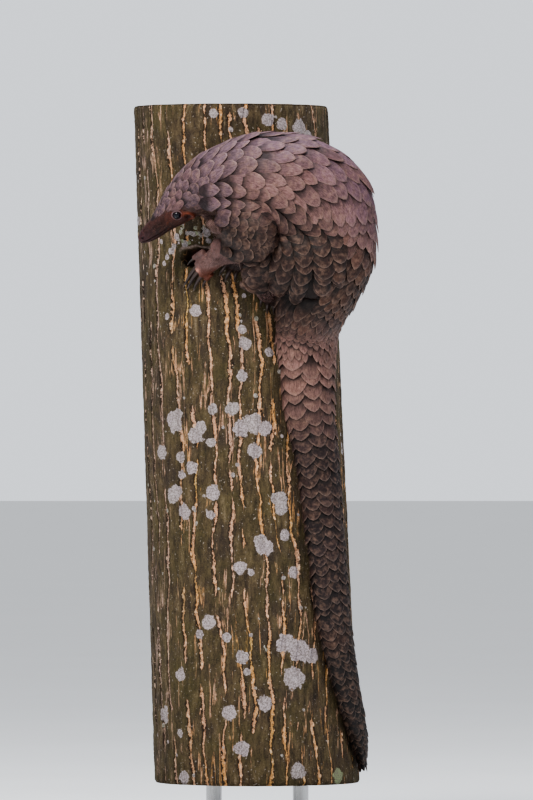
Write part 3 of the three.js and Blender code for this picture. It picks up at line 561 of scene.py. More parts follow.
def scale_material():
    """Horn: worn middles, pale rims, fine lines along each scale, pits, and painted shade below the scale
    above and under each scale.
    """
    g = Graph("horn_scale")
    tint = g.attribute("tint", "Color")
    grain = g.attribute("grain", "Vector")
    place = g.object_place()
    lines = g.noise(g.scaled(grain, (1.7, 0.2, 1.0)), 1.0, 4.0, 0.65)
    worn = g.noise(g.scaled(grain, (0.22, 0.2, 1.0)), 1.0, 3.0, 0.6)
    blotch = g.noise(place, 300, 5.0, 0.65)
    grit = g.noise(place, 1100, 3.0, 0.7)
    colour = g.over(tint, lines, [(0.38, 1.0), (0.6, 0.0)], (0.46, 0.41, 0.4), "MULTIPLY")
    colour = g.mix(g.ramp(worn, [(0.46, 0.0), (0.7, 0.55)]), colour, g.mix(0.5, colour, srgb(168, 134, 114)))
    colour = g.over(colour, blotch, [(0.5, 0.0), (0.68, 0.7)], (0.4, 0.35, 0.34), "MULTIPLY")
    colour = g.over(colour, grit, [(0.3, 0.6), (0.52, 0.0)], (0.55, 0.5, 0.48), "MULTIPLY")
    # painted shade: each scale darker towards its root, under the tip of the scale above, and on its
    # underside
    colour = g.mix(g.math("MULTIPLY", g.attribute("root"), 0.95), colour, (0.12, 0.1, 0.1), "MULTIPLY")
    rim = g.math("MULTIPLY", g.attribute("rim"), g.ramp(blotch, [(0.35, 0.25), (0.6, 0.8)]))
    colour = g.mix(rim, colour, g.mix(0.36, colour, srgb(196, 166, 150)))
    pits = g.ramp(g.voronoi(place, 420), [(0.0, 0.0), (0.22, 1.0)])
    pits = g.math("MAXIMUM", pits, g.ramp(g.noise(place, 90, 2.0), [(0.46, 1.0), (0.6, 0.0)]))
    colour = g.mix(pits, g.mix(0.6, colour, (0.01, 0.008, 0.008)), colour)
    normal = g.bump(lines, 0.7, 0.0005)
    normal = g.bump(blotch, 0.35, 0.0006, normal)
    normal = g.bump(grit, 0.3, 0.0003, normal)
    normal = g.bump(pits, 0.6, 0.0005, normal)
    rough = g.ramp(blotch, [(0.3, 0.5), (0.75, 0.7)])
    return g.finish(colour, rough, normal, Specular_IOR_Level=0.3)


def skin_material():
    """Bare skin, with its colours on the mesh, fine wrinkles and pores."""
    g = Graph("skin")
    tint = g.attribute("tint", "Color")
    place = g.object_place()
    spots = g.noise(place, 420, 4.0, 0.65)
    broad = g.noise(place, 90, 3.0, 0.6)
    colour = g.over(tint, spots, [(0.36, 0.5), (0.62, 0.0)], (0.35, 0.24, 0.22), "MULTIPLY")
    colour = g.over(colour, broad, [(0.5, 0.0), (0.75, 0.35)], (1.0, 0.82, 0.7), "SOFT_LIGHT")
    cells = g.voronoi(place, 900)
    creases = g.voronoi(place, 520, "DISTANCE_TO_EDGE")
    normal = g.bump(g.ramp(creases, [(0.0, 0.0), (0.12, 1.0)]), 0.35, 0.0003)
    normal = g.bump(cells, 0.3, 0.00025, normal)
    normal = g.bump(spots, 0.35, 0.0004, normal)
    rough = g.ramp(spots, [(0.3, 0.42), (0.7, 0.62)])
    return g.finish(colour, rough, normal, Subsurface_Weight=0.08, Subsurface_Scale=0.002,
                    Specular_IOR_Level=0.25)


def hair_material():
    g = Graph("hair")
    tint = g.attribute("tint", "Color")
    along = g.attribute("along")
    colour = g.over(tint, along, [(0.0, 0.55), (0.6, 0.0)], (0.45, 0.36, 0.33), "MULTIPLY")
    fine = g.noise(g.object_place(), 1500, 2.0)
    colour = g.over(colour, fine, [(0.3, 0.3), (0.7, 0.0)], (0.7, 0.66, 0.62), "MULTIPLY")
    return g.finish(colour, 0.6, g.bump(fine, 0.2, 0.0002), Specular_IOR_Level=0.35)


def claw_material():
    g = Graph("claw")
    along = g.attribute("along")
    place = g.object_place()
    streak = g.noise(g.scaled(g.attribute("grain", "Vector"), (1.0, 0.12, 1.0)), 1.4, 3.0)
    colour = g.ramp(along, [(0.0, srgb(120, 92, 80)), (0.25, srgb(50, 36, 33)), (0.8, srgb(28, 22, 23)),
                            (1.0, srgb(92, 80, 76))])
    colour = g.over(colour, streak, [(0.45, 0.0), (0.75, 0.35)], srgb(112, 88, 76))
    normal = g.bump(streak, 0.4, 0.0003)
    rough = g.ramp(g.noise(place, 700), [(0.3, 0.3), (0.7, 0.48)])
    return g.finish(colour, rough, normal, Coat_Weight=0.15, Coat_Roughness=0.3, Specular_IOR_Level=0.35)


def eye_material():
    g = Graph("eye")
    facing = g.attribute("iris")
    colour = g.ramp(facing, [(0.0, srgb(28, 18, 18)), (0.4, srgb(22, 16, 22)), (0.6, srgb(9, 10, 20)),
                             (1.0, srgb(4, 5, 14))])
    fleck = g.noise(g.object_place(), 900, 3.0)
    colour = g.over(colour, fleck, [(0.45, 0.0), (0.8, 0.4)], srgb(14, 18, 44))
    return g.finish(colour, 0.35, None, Specular_IOR_Level=0.1, Coat_Weight=0.9, Coat_Roughness=0.02,
                    Coat_IOR=1.36)


def bark_material():
    """Olive-brown bark with crumbly pale cracks, flat lichens, a knot hole, and end grain at the cuts."""
    g = Graph("bark")
    place = g.object_place()
    fine = g.noise(g.scaled(place, (1.0, 1.0, 0.3)), 170, 6.0, 0.72)
    broad = g.noise(place, 20, 4.0, 0.6)
    grit = g.noise(place, 650, 5.0, 0.7)
    beads = g.noise(g.scaled(place, (1.0, 1.0, 0.75)), 300, 3.0, 0.55)
    base = g.ramp(fine, [(0.3, srgb(36, 29, 24)), (0.45, srgb(68, 56, 42)), (0.58, srgb(94, 80, 58)),
                         (0.76, srgb(134, 118, 96))])
    base = g.over(base, broad, [(0.42, 0.0), (0.66, 0.5)], srgb(78, 72, 40))
    base = g.over(base, g.noise(place, 34, 3.0), [(0.52, 0.0), (0.7, 0.7)], srgb(58, 48, 42))
    base = g.over(base, grit, [(0.34, 0.75), (0.52, 0.0)], (0.32, 0.29, 0.25), "MULTIPLY")
    base = g.over(base, g.noise(place, 420, 3.0), [(0.64, 0.0), (0.72, 0.75)], srgb(168, 158, 148))
    # cracks: a wandering edge, a dark line beside it as painted shade of the groove, and crumbs within
    width = g.math("MULTIPLY_ADD", g.math("SUBTRACT", beads, 0.5), 7.0, 1.7)
    width = g.math("ADD", width, g.math("MULTIPLY", g.math("SUBTRACT", grit, 0.5), 3.0))
    width = g.math("MULTIPLY", width, g.attribute("open"))
    inside = g.math("SUBTRACT", width, g.attribute("away"))
    warm = g.noise(g.scaled(place, (1.0, 1.0, 0.4)), 26, 3.0)
    core = g.ramp(warm, [(0.3, srgb(176, 146, 132)), (0.48, srgb(208, 160, 126)), (0.6, srgb(204, 152, 96)),
                         (0.74, srgb(176, 146, 84))])
    core = g.mix(g.attribute("wane"), core, srgb(158, 138, 130))
    core = g.over(core, grit, [(0.34, 0.9), (0.55, 0.0)], srgb(108, 78, 58))
    core = g.over(core, beads, [(0.56, 0.0), (0.72, 0.6)], srgb(232, 206, 176))
    # painted shade: a dark line beside each crack
    beside = g.math("SUBTRACT", 1.0, g.math("MULTIPLY", g.math("ABSOLUTE", g.math("ADD", inside, 0.5)), 1.1),
                    clamp=True)
    colour = g.mix(g.math("MULTIPLY", beside, g.attribute("open")), base, srgb(40, 28, 20))
    colour = g.mix(g.math("MULTIPLY", inside, 1.6, clamp=True), colour, core)
    veins = g.noise(g.scaled(place, (1.0, 1.0, 0.07)), 105, 3.0, 0.5)
    broken = g.ramp(g.noise(g.scaled(place, (1.0, 1.0, 0.35)), 75, 4.0, 0.6), [(0.5, 0.0), (0.58, 1.0)])
    thin = g.ramp(g.math("ABSOLUTE", g.math("SUBTRACT", veins, 0.5)), [(0.006, 1.0), (0.02, 0.0)])
    thin = g.math("MULTIPLY", g.math("MULTIPLY", thin, broken),
                  g.ramp(g.attribute("away"), [(0.2, 0.0), (0.4, 0.85)]))
    colour = g.mix(thin, colour, core)
    # lichens: flat, round and lobed, with a darker ring and specks
    field = g.math("ADD", g.attribute("lichen"),
                   g.math("MULTIPLY", g.math("SUBTRACT", g.noise(place, 150, 5.0, 0.65), 0.5), 1.5))
    crust = g.math("MULTIPLY", g.math("SUBTRACT", field, 0.02), 14.0, clamp=True)
    ring = g.ramp(field, [(0.0, 0.85), (0.08, 0.0), (0.2, 0.0), (0.27, 0.5), (0.34, 0.0), (0.52, 0.15),
                          (0.6, 0.45), (0.7, 0.0)])
    pale = g.mix(g.attribute("green"), srgb(186, 174, 178), srgb(142, 156, 110))
    pale = g.over(pale, grit, [(0.42, 0.85), (0.58, 0.0)], srgb(108, 98, 94))
    pale = g.mix(ring, pale, srgb(116, 104, 102))
    colour = g.mix(g.math("MULTIPLY", crust, g.ramp(grit, [(0.26, 0.55), (0.42, 1.0)])), colour, pale)
    colour = g.mix(g.attribute("callus"), colour,
                   g.over(srgb(84, 66, 60), grit, [(0.35, 0.0), (0.65, 1.0)], srgb(172, 152, 142)))
    # inside the knot hole: dark red-brown wood, partly its own colour and partly painted shade of the hole
    hollow = g.over(srgb(30, 13, 15), fine, [(0.35, 0.0), (0.7, 1.0)], srgb(88, 44, 42))
    colour = g.mix(g.attribute("hollow"), colour, hollow)
    rings = g.math("SINE",
                   g.math("MULTIPLY", g.math("ADD", g.attribute("radius"), g.math("MULTIPLY", fine, 3.0)),
                          1.6))
    wood = g.ramp(g.math("MULTIPLY_ADD", rings, 0.5, 0.5),
                  [(0.0, srgb(150, 112, 74)), (1.0, srgb(198, 162, 118))])
    wood = g.over(wood, grit, [(0.3, 0.4), (0.6, 0.0)], srgb(110, 78, 50))
    colour = g.mix(g.attribute("wood"), colour, wood)
    normal = g.bump(fine, 0.8, 0.0022)
    normal = g.bump(g.math("MINIMUM", g.math("MAXIMUM", inside, -0.8), 0.6), 0.5, 0.0012, normal)
    normal = g.bump(crust, 0.3, 0.0006, normal)
    normal = g.bump(grit, 0.6, 0.0008, normal)
    return g.finish(colour, 0.88, normal, Specular_IOR_Level=0.3)


def metal_material():
    g = Graph("steel")
    place = g.object_place()
    brushed = g.noise(g.scaled(place, (1.0, 1.0, 0.03)), 900, 3.0)
    return g.finish(g.ramp(brushed, [(0.3, 0.5), (0.7, 0.62)]), g.ramp(brushed, [(0.3, 0.24), (0.7, 0.36)]),
                    g.bump(brushed, 0.15, 0.0001), Metallic=1.0)


def base_material():
    g = Graph("painted_base")
    fine = g.noise(g.object_place(), 1200, 3.0)
    return g.finish(g.ramp(fine, [(0.3, srgb(38, 38, 41)), (0.7, srgb(46, 46, 49))]),
                    g.ramp(fine, [(0.3, 0.42), (0.7, 0.55)]), g.bump(fine, 0.12, 0.0002))


HORN, SKIN, HAIR, CLAW = scale_material(), skin_material(), hair_material(), claw_material()
EYE_LOOK, BARK = eye_material(), bark_material()
STEEL, PAINT = metal_material(), base_material()


# The hull: body and limbs as one blended surface, and palms and fingers as one for each foot


def joined(pieces):
    points, faces, count = [], [], 0
    for p, *groups in pieces:
        points.append(p)
        faces += [g + count for g in groups]
        count += len(p)
    return np.concatenate(points), faces


def remeshed(name, pieces, voxel, rounds):
    thing = make(name, *joined(pieces))
    mod = thing.modifiers.new("whole", "REMESH")
    mod.mode = "VOXEL"
    mod.voxel_size = voxel * MM
    soft = thing.modifiers.new("soft", "SMOOTH")
    soft.factor = 0.5
    soft.iterations = rounds
    points, triangles = read(thing)
    bpy.data.objects.remove(thing)
    return points, triangles


def foot_pieces(foot):
    palm = Tube(foot["palm"], outer=foot["outer"], ends=(3, 5))
    pieces = [palm.shell(np.linspace(-1, palm.length + 2, 16), 28)]

    def bone(*stations):
        return Tube([[*place, *[size] * 3] for place, size in stations], outer=(-0.2, -1, 0.3), ends=(3, 3))

    for start, end, _, girth, _ in foot["fingers"]:
        middle = [(a + b) / 2 for a, b in zip(start, end)]
        tube = bone((start, girth * 1.1), (middle, girth * 1.05), (end, girth * 0.8))
        pieces.append(tube.shell(np.linspace(-1, tube.length + 1.2, 10), 18))
        last_joint = [lerp(a, b, 0.72) for a, b in zip(start, end)]
        knuckle = bone((middle, girth * 0.8), (last_joint, girth * 1.04), (end, girth * 0.7))
        pieces.append(knuckle.shell(np.linspace(-0.5, knuckle.length + 0.4, 8), 16))
    return pieces


body_rows = np.concatenate([np.arange(0.4, 20, 1.2), np.arange(20, TIP + 7, 1.6)])
hull_pieces = [body.shell(body_rows, 120, np.where(body_rows > TIP, 0.25 * (body_rows - TIP), 0.0))]
for tube in limbs.values():
    hull_pieces.append(tube.shell(np.linspace(-2, tube.length + 3, 40), 48))
hull_points, hull_triangles = remeshed("hull", hull_pieces, 1.5, 6)
without_arms = [hull_pieces[0]] + [piece for name,
                                   piece in zip(limbs, hull_pieces[1:]) if not name.startswith("arm")]
bare_points, bare_triangles = remeshed("hull_without_arms", without_arms, 1.5, 8)


def tree(points, triangles):
    return BVHTree.FromPolygons([Vector(p) for p in points.tolist()], triangles.tolist())


HULL = tree(hull_points, hull_triangles)
BODY_HULL = tree(bare_points, bare_triangles)


def lifted(points, normals, hull, back=4.0, reach=26.0):
    """How far the blended surface lies outside each point, along its normal."""
    found = np.full(len(points), MISS)
    for k in range(len(points)):
        p, n = points[k], normals[k]
        hit = hull.ray_cast(Vector(p - n * back), Vector(n), reach + back)
        if hit[0] is not None:
            found[k] = hit[3] - back
    return found


class Sheet:
    """The animal as it is seen from its left side: how far out its surface lies behind each place."""

    def __init__(self, hull, low=(180, 170), high=(362, 310)):
        self.low = low
        down, across = np.mgrid[low[1] : high[1] + 1, low[0] : high[0] + 1].astype(float)
        depth = np.full(down.shape, np.nan)
        for i, j in np.ndindex(*down.shape):
            hit = hull.ray_cast(Vector(at(across[i, j], down[i, j], -600)), Vector((0, 1, 0)), 700)
            if hit[0] is not None and hit[0].y < at(0, 0, -60)[1]:
                depth[i, j] = hit[0].y
        for _ in range(60):
            near = np.stack([np.roll(depth, way, axis) for axis in (0, 1) for way in (-1, 1)])
            holes = np.isnan(depth) & ~np.isnan(near).all(0)
            if not holes.any():
                break
            depth[holes] = np.nanmean(near[:, holes], axis=0)
        for _ in range(8):
            wide = np.pad(depth, 1, mode="edge")
            depth = (
                wide[1:-1, 1:-1] * 2 + wide[:-2, 1:-1] + wide[2:, 1:-1] + wide[1:-1, :-2] + wide[1:-1, 2:]
            ) / 6
        self.depth = depth
        falls, runs = np.gradient(depth)
        self.normals = unit(np.stack([runs, -np.ones_like(runs), -falls], -1))

    def place(self, across, down):
        rows, columns = self.depth.shape
        i = np.clip(down - self.low[1], 0, rows - 1.001)
        j = np.clip(across - self.low[0], 0, columns - 1.001)
        i0, j0 = i.astype(int), j.astype(int)
        a, b = i - i0, j - j0

        def read(table):
            share = lambda q: q[..., None] if table.ndim == 3 else q
            upper = table[i0, j0] * share(1 - b) + table[i0, j0 + 1] * share(b)
            lower = table[i0 + 1, j0] * share(1 - b) + table[i0 + 1, j0 + 1] * share(b)
            return upper * share(1 - a) + lower * share(a)

        return np.stack([across - ACROSS, read(self.depth), DOWN - down], -1), unit(read(self.normals))


class Line:
    """A smooth line on a sheet, with a width along it: rows of across, down and width."""

    def __init__(self, *knots):
        rows = np.array(knots, float)
        for _ in range(3):
            cut = [rows[:1]]
            for a, b in zip(rows[:-1], rows[1:]):
                cut += [[lerp(a, b, 0.25), lerp(a, b, 0.75)]]
            rows = np.concatenate([*cut, rows[-1:]])
        steps = np.hypot(*np.diff(rows[:, :2], axis=0).T)
        self.along = np.concatenate([[0], np.cumsum(steps)])
        self.rows, self.length = rows, self.along[-1]

    def at(self, s):
        read = lambda q, k: np.interp(q, self.along, self.rows[:, k])
        inner = np.clip(s, 0.5, self.length - 0.5)
        tx, ty = read(inner + 0.5, 0) - read(inner - 0.5, 0), read(inner + 0.5, 1) - read(inner - 0.5, 1)
        size = np.hypot(tx, ty)
        tx, ty = tx / size, ty / size
        over = s - np.clip(s, 0, self.length)
        return read(s, 0) + over * tx, read(s, 1) + over * ty, read(s, 2), tx, ty


def inside(shape, x, y):
    """Whether places lie inside a closed shape of across and down."""
    within = np.zeros(np.shape(x), bool)
    for (x0, y0), (x1, y1) in zip(shape, shape[1:] + shape[:1]):
        if y0 != y1:
            within ^= ((y0 > y) != (y1 > y)) & (x < (x1 - x0) * (y - y0) / (y1 - y0) + x0)
    return within


# Scales

PLATE_ACROSS = np.sin(np.radians(np.linspace(-90, 90, 9)))
PLATE_ALONG = np.array([0.0, 0.22, 0.42, 0.6, 0.76, 0.88, 0.955, 1.0])


def round_share(share):
    part = np.mod(share, 1.0)
    return 2 * np.minimum(part, 1 - part)


class Coat:
    """Collects scales, each a closed curved plate, and makes them one mesh."""

    def __init__(self, name, seed):
        self.name = name
        self.rng = np.random.default_rng(seed)
        self.points, self.faces, self.count = [], [], 0
        self.values = {"grain": [], "rim": [], "root": []}
        self.tint, self.patch = [], []

    def plates(self, surface, width, length, tip, place, tint, thick=0.85, crown=0.6, point=0.35, turn=4.0,
               root=0.2, base=0.0, tilt=0.0, wave=0.03, bare=0.0):
        """Scales on a surface that gives the place and normal so far along and across from a scale's root."""
        rng = self.rng
        n = len(place)
        if n == 0:
            return
        full = lambda value: np.broadcast_to(np.asarray(value, float), (n,))[:, None, None]
        width, length, tip, point = map(full, (width, length, tip, point))
        crown, base, bare = map(full, (crown, base, bare))
        angle = np.radians(turn) * rng.normal(0, 0.5, n)[:, None, None]
        size = 1 + 0.05 * rng.normal(0, 1, n)[:, None, None]
        u, v = np.meshgrid(PLATE_ACROSS, PLATE_ALONG)
        side = 0.66 + 0.34 * np.sin(np.pi / 2 * np.clip(v / 0.62, 0, 1))
        blunt = np.sqrt(1 - np.abs(u) ** 2.2)
        arc = 0.5 + 0.5 * lerp(blunt, np.clip(1 - np.abs(u) ** 1.35, 0, 1), np.clip(point, 0, 1))
        none = np.zeros((n, *u.shape))
        tag = none + rng.uniform(0, 60, n)[:, None, None]
        ragged = 1 + wave * noise(np.stack([u * 2.2 + tag, v * 1.2 + none, 1.7 * tag], -1), 0.8, 3) * v
        x = u * side * 0.5 * width * size
        y = v * arc * ragged * length * size
        xr, yr = x * np.cos(angle) - y * np.sin(angle), x * np.sin(angle) + y * np.cos(angle)
        part = y / length
        edge = smooth(0.86, 1.0, v) + 0 * u
        flank = smooth(0.72, 1.0, np.abs(u)) + 0 * v
        roll = rng.normal(0, 0.3, n)[:, None, None]
        lift = 1 + 0.16 * rng.normal(0, 1, n)[:, None, None]
        top = root + base + (tip * lift - root) * part + (roll - tilt) * u * smooth(0.2, 0.9, part)
        top = top + crown * (1 - u * u) * np.sin(np.pi * np.clip(v, 0, 1) * 0.8) - 0.32 * thick * edge
        top = top - 0.35 * thick * flank
        top = top + 0.14 * noise(np.stack([x / 2.2, y / 6, tag], -1), 1.0, 9)
        depth = thick * (1 - 0.55 * np.maximum(edge, flank)) * (0.55 + 0.45 * smooth(0, 0.4, v))
        low = top - depth
        p, normal = surface(yr, xr)
        rows, columns = u.shape
        per = rows * columns
        ups = p + normal * top[..., None]
        lows = p + normal * low[..., None]
        points = np.concatenate([ups.reshape(n, per, 3), lows.reshape(n, per, 3)], 1).reshape(-1, 3)
        quads = grid_faces(rows, columns, False)
        under = quads[:, ::-1] + per
        loop = np.concatenate([
            np.arange(columns), np.arange(1, rows) * columns + columns - 1,
            (rows - 1) * columns + np.arange(columns - 2, -1, -1), np.arange(rows - 2, 0, -1) * columns,
        ])
        after = np.roll(loop, -1)
        skirt = np.column_stack([loop, after, after + per, loop + per])
        template = np.concatenate([quads, under, skirt])
        faces = (template[None] + (np.arange(n) * 2 * per)[:, None, None]).reshape(-1, 4) + self.count
        self.points.append(points)
        self.faces.append(faces)
        self.count += len(points)
        grain = np.stack([x, y, tag], -1).reshape(n, per, 3)
        rim = np.maximum(smooth(0.93, 1.0, v) * smooth(0.2, 0.5, part),
                         smooth(0.9, 1.0, np.abs(u)) * smooth(0.4, 0.7, part))
        rim = np.broadcast_to(rim, x.shape).reshape(n, per)
        # painted shade: darker towards each root, where the scale above covers it, and over the whole
        # underside
        dark = np.broadcast_to((1 - smooth(0.4, 0.68, part)) * (1 - bare), x.shape).reshape(n, per)
        self.values["grain"].append(np.concatenate([grain, grain], 1).reshape(-1, 3))
        self.values["rim"].append(np.concatenate([rim, 0 * rim], 1).ravel())
        self.values["root"].append(np.concatenate([dark, 0.3 + 0.7 * dark], 1).ravel())
        self.tint.append(np.repeat(tint, 2 * per, 0))
        local = np.stack([u, 2 * v - 1], -1).reshape(per, 2) * ATLAS_PATCH
        patch = place[:, None] + np.concatenate([local, local * 0.9])[None]
        self.patch.append(patch.reshape(-1, 2))

    def on_tube(self, tube, s, share, width, length, tip, tint, atlas, hull=BODY_HULL, most=5.0, keep=None,
                **rest):
        """Scales rooted at s and share on a tube; those whose roots are buried are left out."""
        n = len(s)
        rows = {"width": width, "length": length, "tip": tip}
        rows.update({k: v for k, v in rest.items() if np.ndim(v)})
        rows = {k: np.broadcast_to(np.asarray(v, float), (n,)) for k, v in rows.items()}
        p, normal = tube.sample(s, share)
        rise = np.zeros(n)
        if hull:
            rise = lifted(p, normal, hull)
            here = rise < most
            if keep is not None:
                here &= keep(p + normal * rise[:, None], normal)
            s, share, p, rise = s[here], share[here], p[here], rise[here]
            rows = {k: v[here] for k, v in rows.items()}
        stretch = tube.sample(s, share, tube.stretch)[0][:, None, None]
        girth = tube.girth_at(s)[:, None, None]

        def surface(along, across):
            p, normal = tube.sample(s[:, None, None] + along / stretch, share[:, None, None] + across / girth)
            if hull:
                more = lifted(p.reshape(-1, 3), normal.reshape(-1, 3), hull).reshape(along.shape)
                mean = rise[:, None, None]
                more = np.where(more == MISS, mean, more)
                more = np.clip(more, mean - 0.5 - 0.12 * along, mean + 0.5 + 0.45 * along)
                p = p + normal * more[..., None]
            return p, normal

        a0, b0, aw, bh = atlas
        place = np.stack([a0 + aw * np.mod(share, 1.0), b0 + bh * np.clip(s / tube.length, 0, 1)], -1)
        rest = {k: v for k, v in rest.items() if not np.ndim(v)}
        self.plates(surface, place=place, tint=tint(s, share, p, self.rng), **rows, **rest)

    def on_line(self, sheet, line, pitch, tip, atlas, base, spread, start=0.0, longer=2.1, first=0.0,
                **rest):
        """A file of scales down a line drawn on the side, each over the next one's root."""
        s = [start]
        while s[-1] + pitch(s[-1]) < line.length:
            s.append(s[-1] + pitch(s[-1]))
        s = np.array(s)
        x, y, wide, _, _ = line.at(s)
        step = np.array([pitch(q) for q in s])
        width = wide * spread
        length = np.maximum(longer * step, 0.9 * width)
        length = np.minimum(length, line.length - s + 2)

        def surface(along, across):
            x, y, _, tx, ty = line.at(s[:, None, None] + along)
            return sheet.place(x - ty * across, y + tx * across)

        p, _ = sheet.place(x, y)
        a0, b0, aw, bh = atlas
        place = np.stack([a0 + aw * (x - 190) / 160, b0 + bh * (y - 180) / 120], -1)
        height = lerp(base[0], base[1], s / line.length)
        tint = body_tint(0 * s + NECK_END, 0 * s + 0.3, p, self.rng)
        self.plates(surface, width, length, tip, place, tint, base=height, bare=first * (s < start + 1),
                    **rest)

    def finish(self):
        points = np.concatenate(self.points)
        faces = np.concatenate(self.faces)
        thing = make(self.name, points, [faces], HORN, True,
                     {k: np.concatenate(v) for k, v in self.values.items()},
                     {"tint": np.concatenate(self.tint)})
        baked(thing, np.concatenate(self.patch))
        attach(thing, "root")


def baked(thing, patch):
    """The unwrap of a coat: each piece of it is a small patch where it grows on the skin's own shape."""
    layer = thing.data.uv_layers.new(name="OFBake")
    corner = np.empty(len(thing.data.loops), np.int32)
    thing.data.loops.foreach_get("vertex_index", corner)
    layer.data.foreach_set("uv", patch[corner].astype(np.float32).ravel())


def files(tube, shares, start, end, pitch, along=0.6):
    """Roots along lines down a tube, a pitch apart on its surface, each line half a pitch from the last."""
    s = np.arange(start, end, 0.4)
    found = []
    for k, share in enumerate(shares):
        stretch = np.clip(tube.sample(s, np.full(len(s), share), tube.stretch)[0], 0.25, 2.2)
        step = pitch(s) * stretch**along
        phase = np.cumsum(0.4 * stretch / step) + 0.5 * (k % 2)
        here = np.flatnonzero(np.floor(phase[1:]) > np.floor(phase[:-1])) + 1
        found.append(np.column_stack([s[here], np.full(len(here), share), step[here]]))
    return np.concatenate(found).T


SKY_SHEEN_MAUVE, DUN, SHADE_UMBER, DARK = (srgb(*c) for c in ((110, 83, 95), (130, 98, 95), (46, 28, 22), (22, 15, 14)))
ASH, RUSSET, SOOT = srgb(130, 98, 91), srgb(118, 76, 52), srgb(46, 32, 33)


def body_tint(s, share, p, rng):
    """Dun on the flank, painted sky sheen in mauve above and on the neck, painted shade in umber below and on
    the thigh, ashy at the tail's root, then dark.
    """
    across, down = p[:, 0] + ACROSS, DOWN - p[:, 2]
    lower = (down - 0.34 * np.clip(across - 300, 0, 80))[:, None]
    # painted sky sheen: mauve on the upper back, where the scales face the sky
    painted_sky_sheen = smooth(214, 150, lower) * smooth(0.7, 0.1, round_share(share))[:, None]
    colour = lerp(DUN, SKY_SHEEN_MAUVE, painted_sky_sheen)
    # painted shade: umber over the lower body, the arm, the knee and the thigh
    colour = lerp(colour, SHADE_UMBER, smooth(186, 234, lower) * 0.95)
    # painted sky sheen: lavender over the crown and neck
    colour = lerp(colour, srgb(112, 92, 103),
                  (smooth(232, 204, across) * smooth(232, 218, down))[:, None] * 0.8)
    tail = smooth(296, 342, down)[:, None]
    colour = lerp(colour, ASH, tail)
    colour = lerp(colour, SOOT, smooth(362, 445, down)[:, None])
    colour = lerp(colour, DARK, smooth(470, 740, down)[:, None])
    patch = layered(p, 20, 5)[:, None]
    colour = lerp(colour, RUSSET, smooth(0.12, 0.5, patch) * 0.3 * (1 - 0.6 * tail))
    tone = 1 + 0.13 * rng.normal(0, 1, (len(s), 1))
    return colour * np.clip(tone, 0.6, 1.4)


def head_cover(s):
    past = s - EYE
    fore = lerp(0.12, 0.42, np.clip((past + 24) / 26, 0, 1))
    aft = lerp(0.4, 0.78, np.clip((past - 5.5) / 12, 0, 1))
    return np.where(past < 5.5, fore, aft)


# what the drawn files of scales cover on the left side
DRAWN = [
    (198, 191), (213, 189), (228, 189), (243, 191), (260, 193), (273, 197), (284, 203), (293, 209),
    (302, 203), (311, 205),
    (320, 215), (328, 226), (334, 238), (338, 251), (339, 262), (336, 268), (328, 272), (315, 276),
    (298, 277), (282, 274),
    (262, 272), (240, 276), (225, 266), (212, 240), (200, 212),
]


def body_coat():
    start = EYE - 25
    pitch = lambda s: np.interp(s, [start, EYE, NAPE, S[7], NECK_END, S[10], S[11], RUMP, S[13], ROOT],
                                [5.2, 8.2, 12.0, 13.5, 15.0, 17.5, 15.0, 12.0, 10.6, 10.2])

    def shown(place, normal):
        over_arm = lifted(place, normal, HULL, back=1.0, reach=30)
        clear = (over_arm == MISS) | (over_arm < 2.5)
        drawn = inside(DRAWN, place[:, 0] + ACROSS, DOWN - place[:, 2]) & (place[:, 1] < at(0, 0, -128)[1])
        return clear & ~drawn

    pieces = (("scales_head_neck", 36, 20, start, NECK_END, 12.0),
              ("scales_torso", 38, 26, NECK_END - 4, RUMP, 12.0),
              ("scales_rump", 37, 26, RUMP - 4, TAIL - 8, 10.0))
    for name, seed, count, low, high, most in pieces:
        coat = Coat(name, seed)
        s, share, step = files(body, np.arange(count) / count, low, high, pitch)
        near = round_share(share)
        belly = np.interp(s, [NAPE, NECK_END, NECK_END + 20, RUMP, RUMP + 40, TAIL],
                          [0.78, 0.74, 0.64, 0.62, 0.74, 0.84])
        keep = near < np.where(s < NAPE, head_cover(s), belly)
        s, share, step = s[keep], share[keep], step[keep]
        spread = np.interp(s, [start, NAPE, S[10], RUMP, TAIL], [1.5, 1.42, 1.5, 1.42, 1.4])
        width = body.girth_at(s) / count * spread
        length = np.maximum(2.2 * step, width)
        back = smooth(0.4, 0.05, round_share(share))
        first = (round_share(share) > head_cover(s - step)) & (s < NAPE)
        tip = np.interp(s, [start, EYE, EYE + 12, NAPE, NECK_END, S[10], RUMP, TAIL],
                        [0.8, 1.2, 1.5, 2.6, 4.2, 4.8, 4.4, 3.6])
        tip = tip * (1 + 0.2 * back)
        coat.on_tube(body, s, share, width, length, tip, body_tint, (0.02, 0.02, 0.55, 0.95), keep=shown,
                     thick=0.85,
                     most=most, point=np.interp(s, [EYE, NECK_END, RUMP, TAIL], [0.0, 0.2, 0.3, 0.45]),
                     crown=np.interp(s, [EYE + 10, NECK_END], [0.05, 0.7]), bare=0.85 * first)
        coat.finish()


def tail_coat():
    coat = Coat("scales_tail", 41)
    start = TAIL - 18
    pitch = lambda s: np.interp(s, [start, TAIL + 30, TIP - 150, TIP], [12.0, 12.6, 10.4, 8.0])
    s, share, step = files(body, (np.arange(8) + 0.5) / 8, start, TIP - 4, pitch, along=0.3)
    width = body.girth_at(s) / 8 * 1.36
    length = np.maximum(2.05 * step, width * 0.8)
    tip = np.interp(s, [start, TIP - 40, TIP], [3.6, 2.4, 1.4])
    tip = np.where(round_share(share) > 0.8, np.minimum(tip, 2.6), tip)
    coat.on_tube(body, s, share, width, length, tip, body_tint, (0.02, 0.02, 0.55, 0.95), hull=None,
                 thick=0.75, crown=0.4,
                 point=0.55, turn=3.0)
    coat.finish()


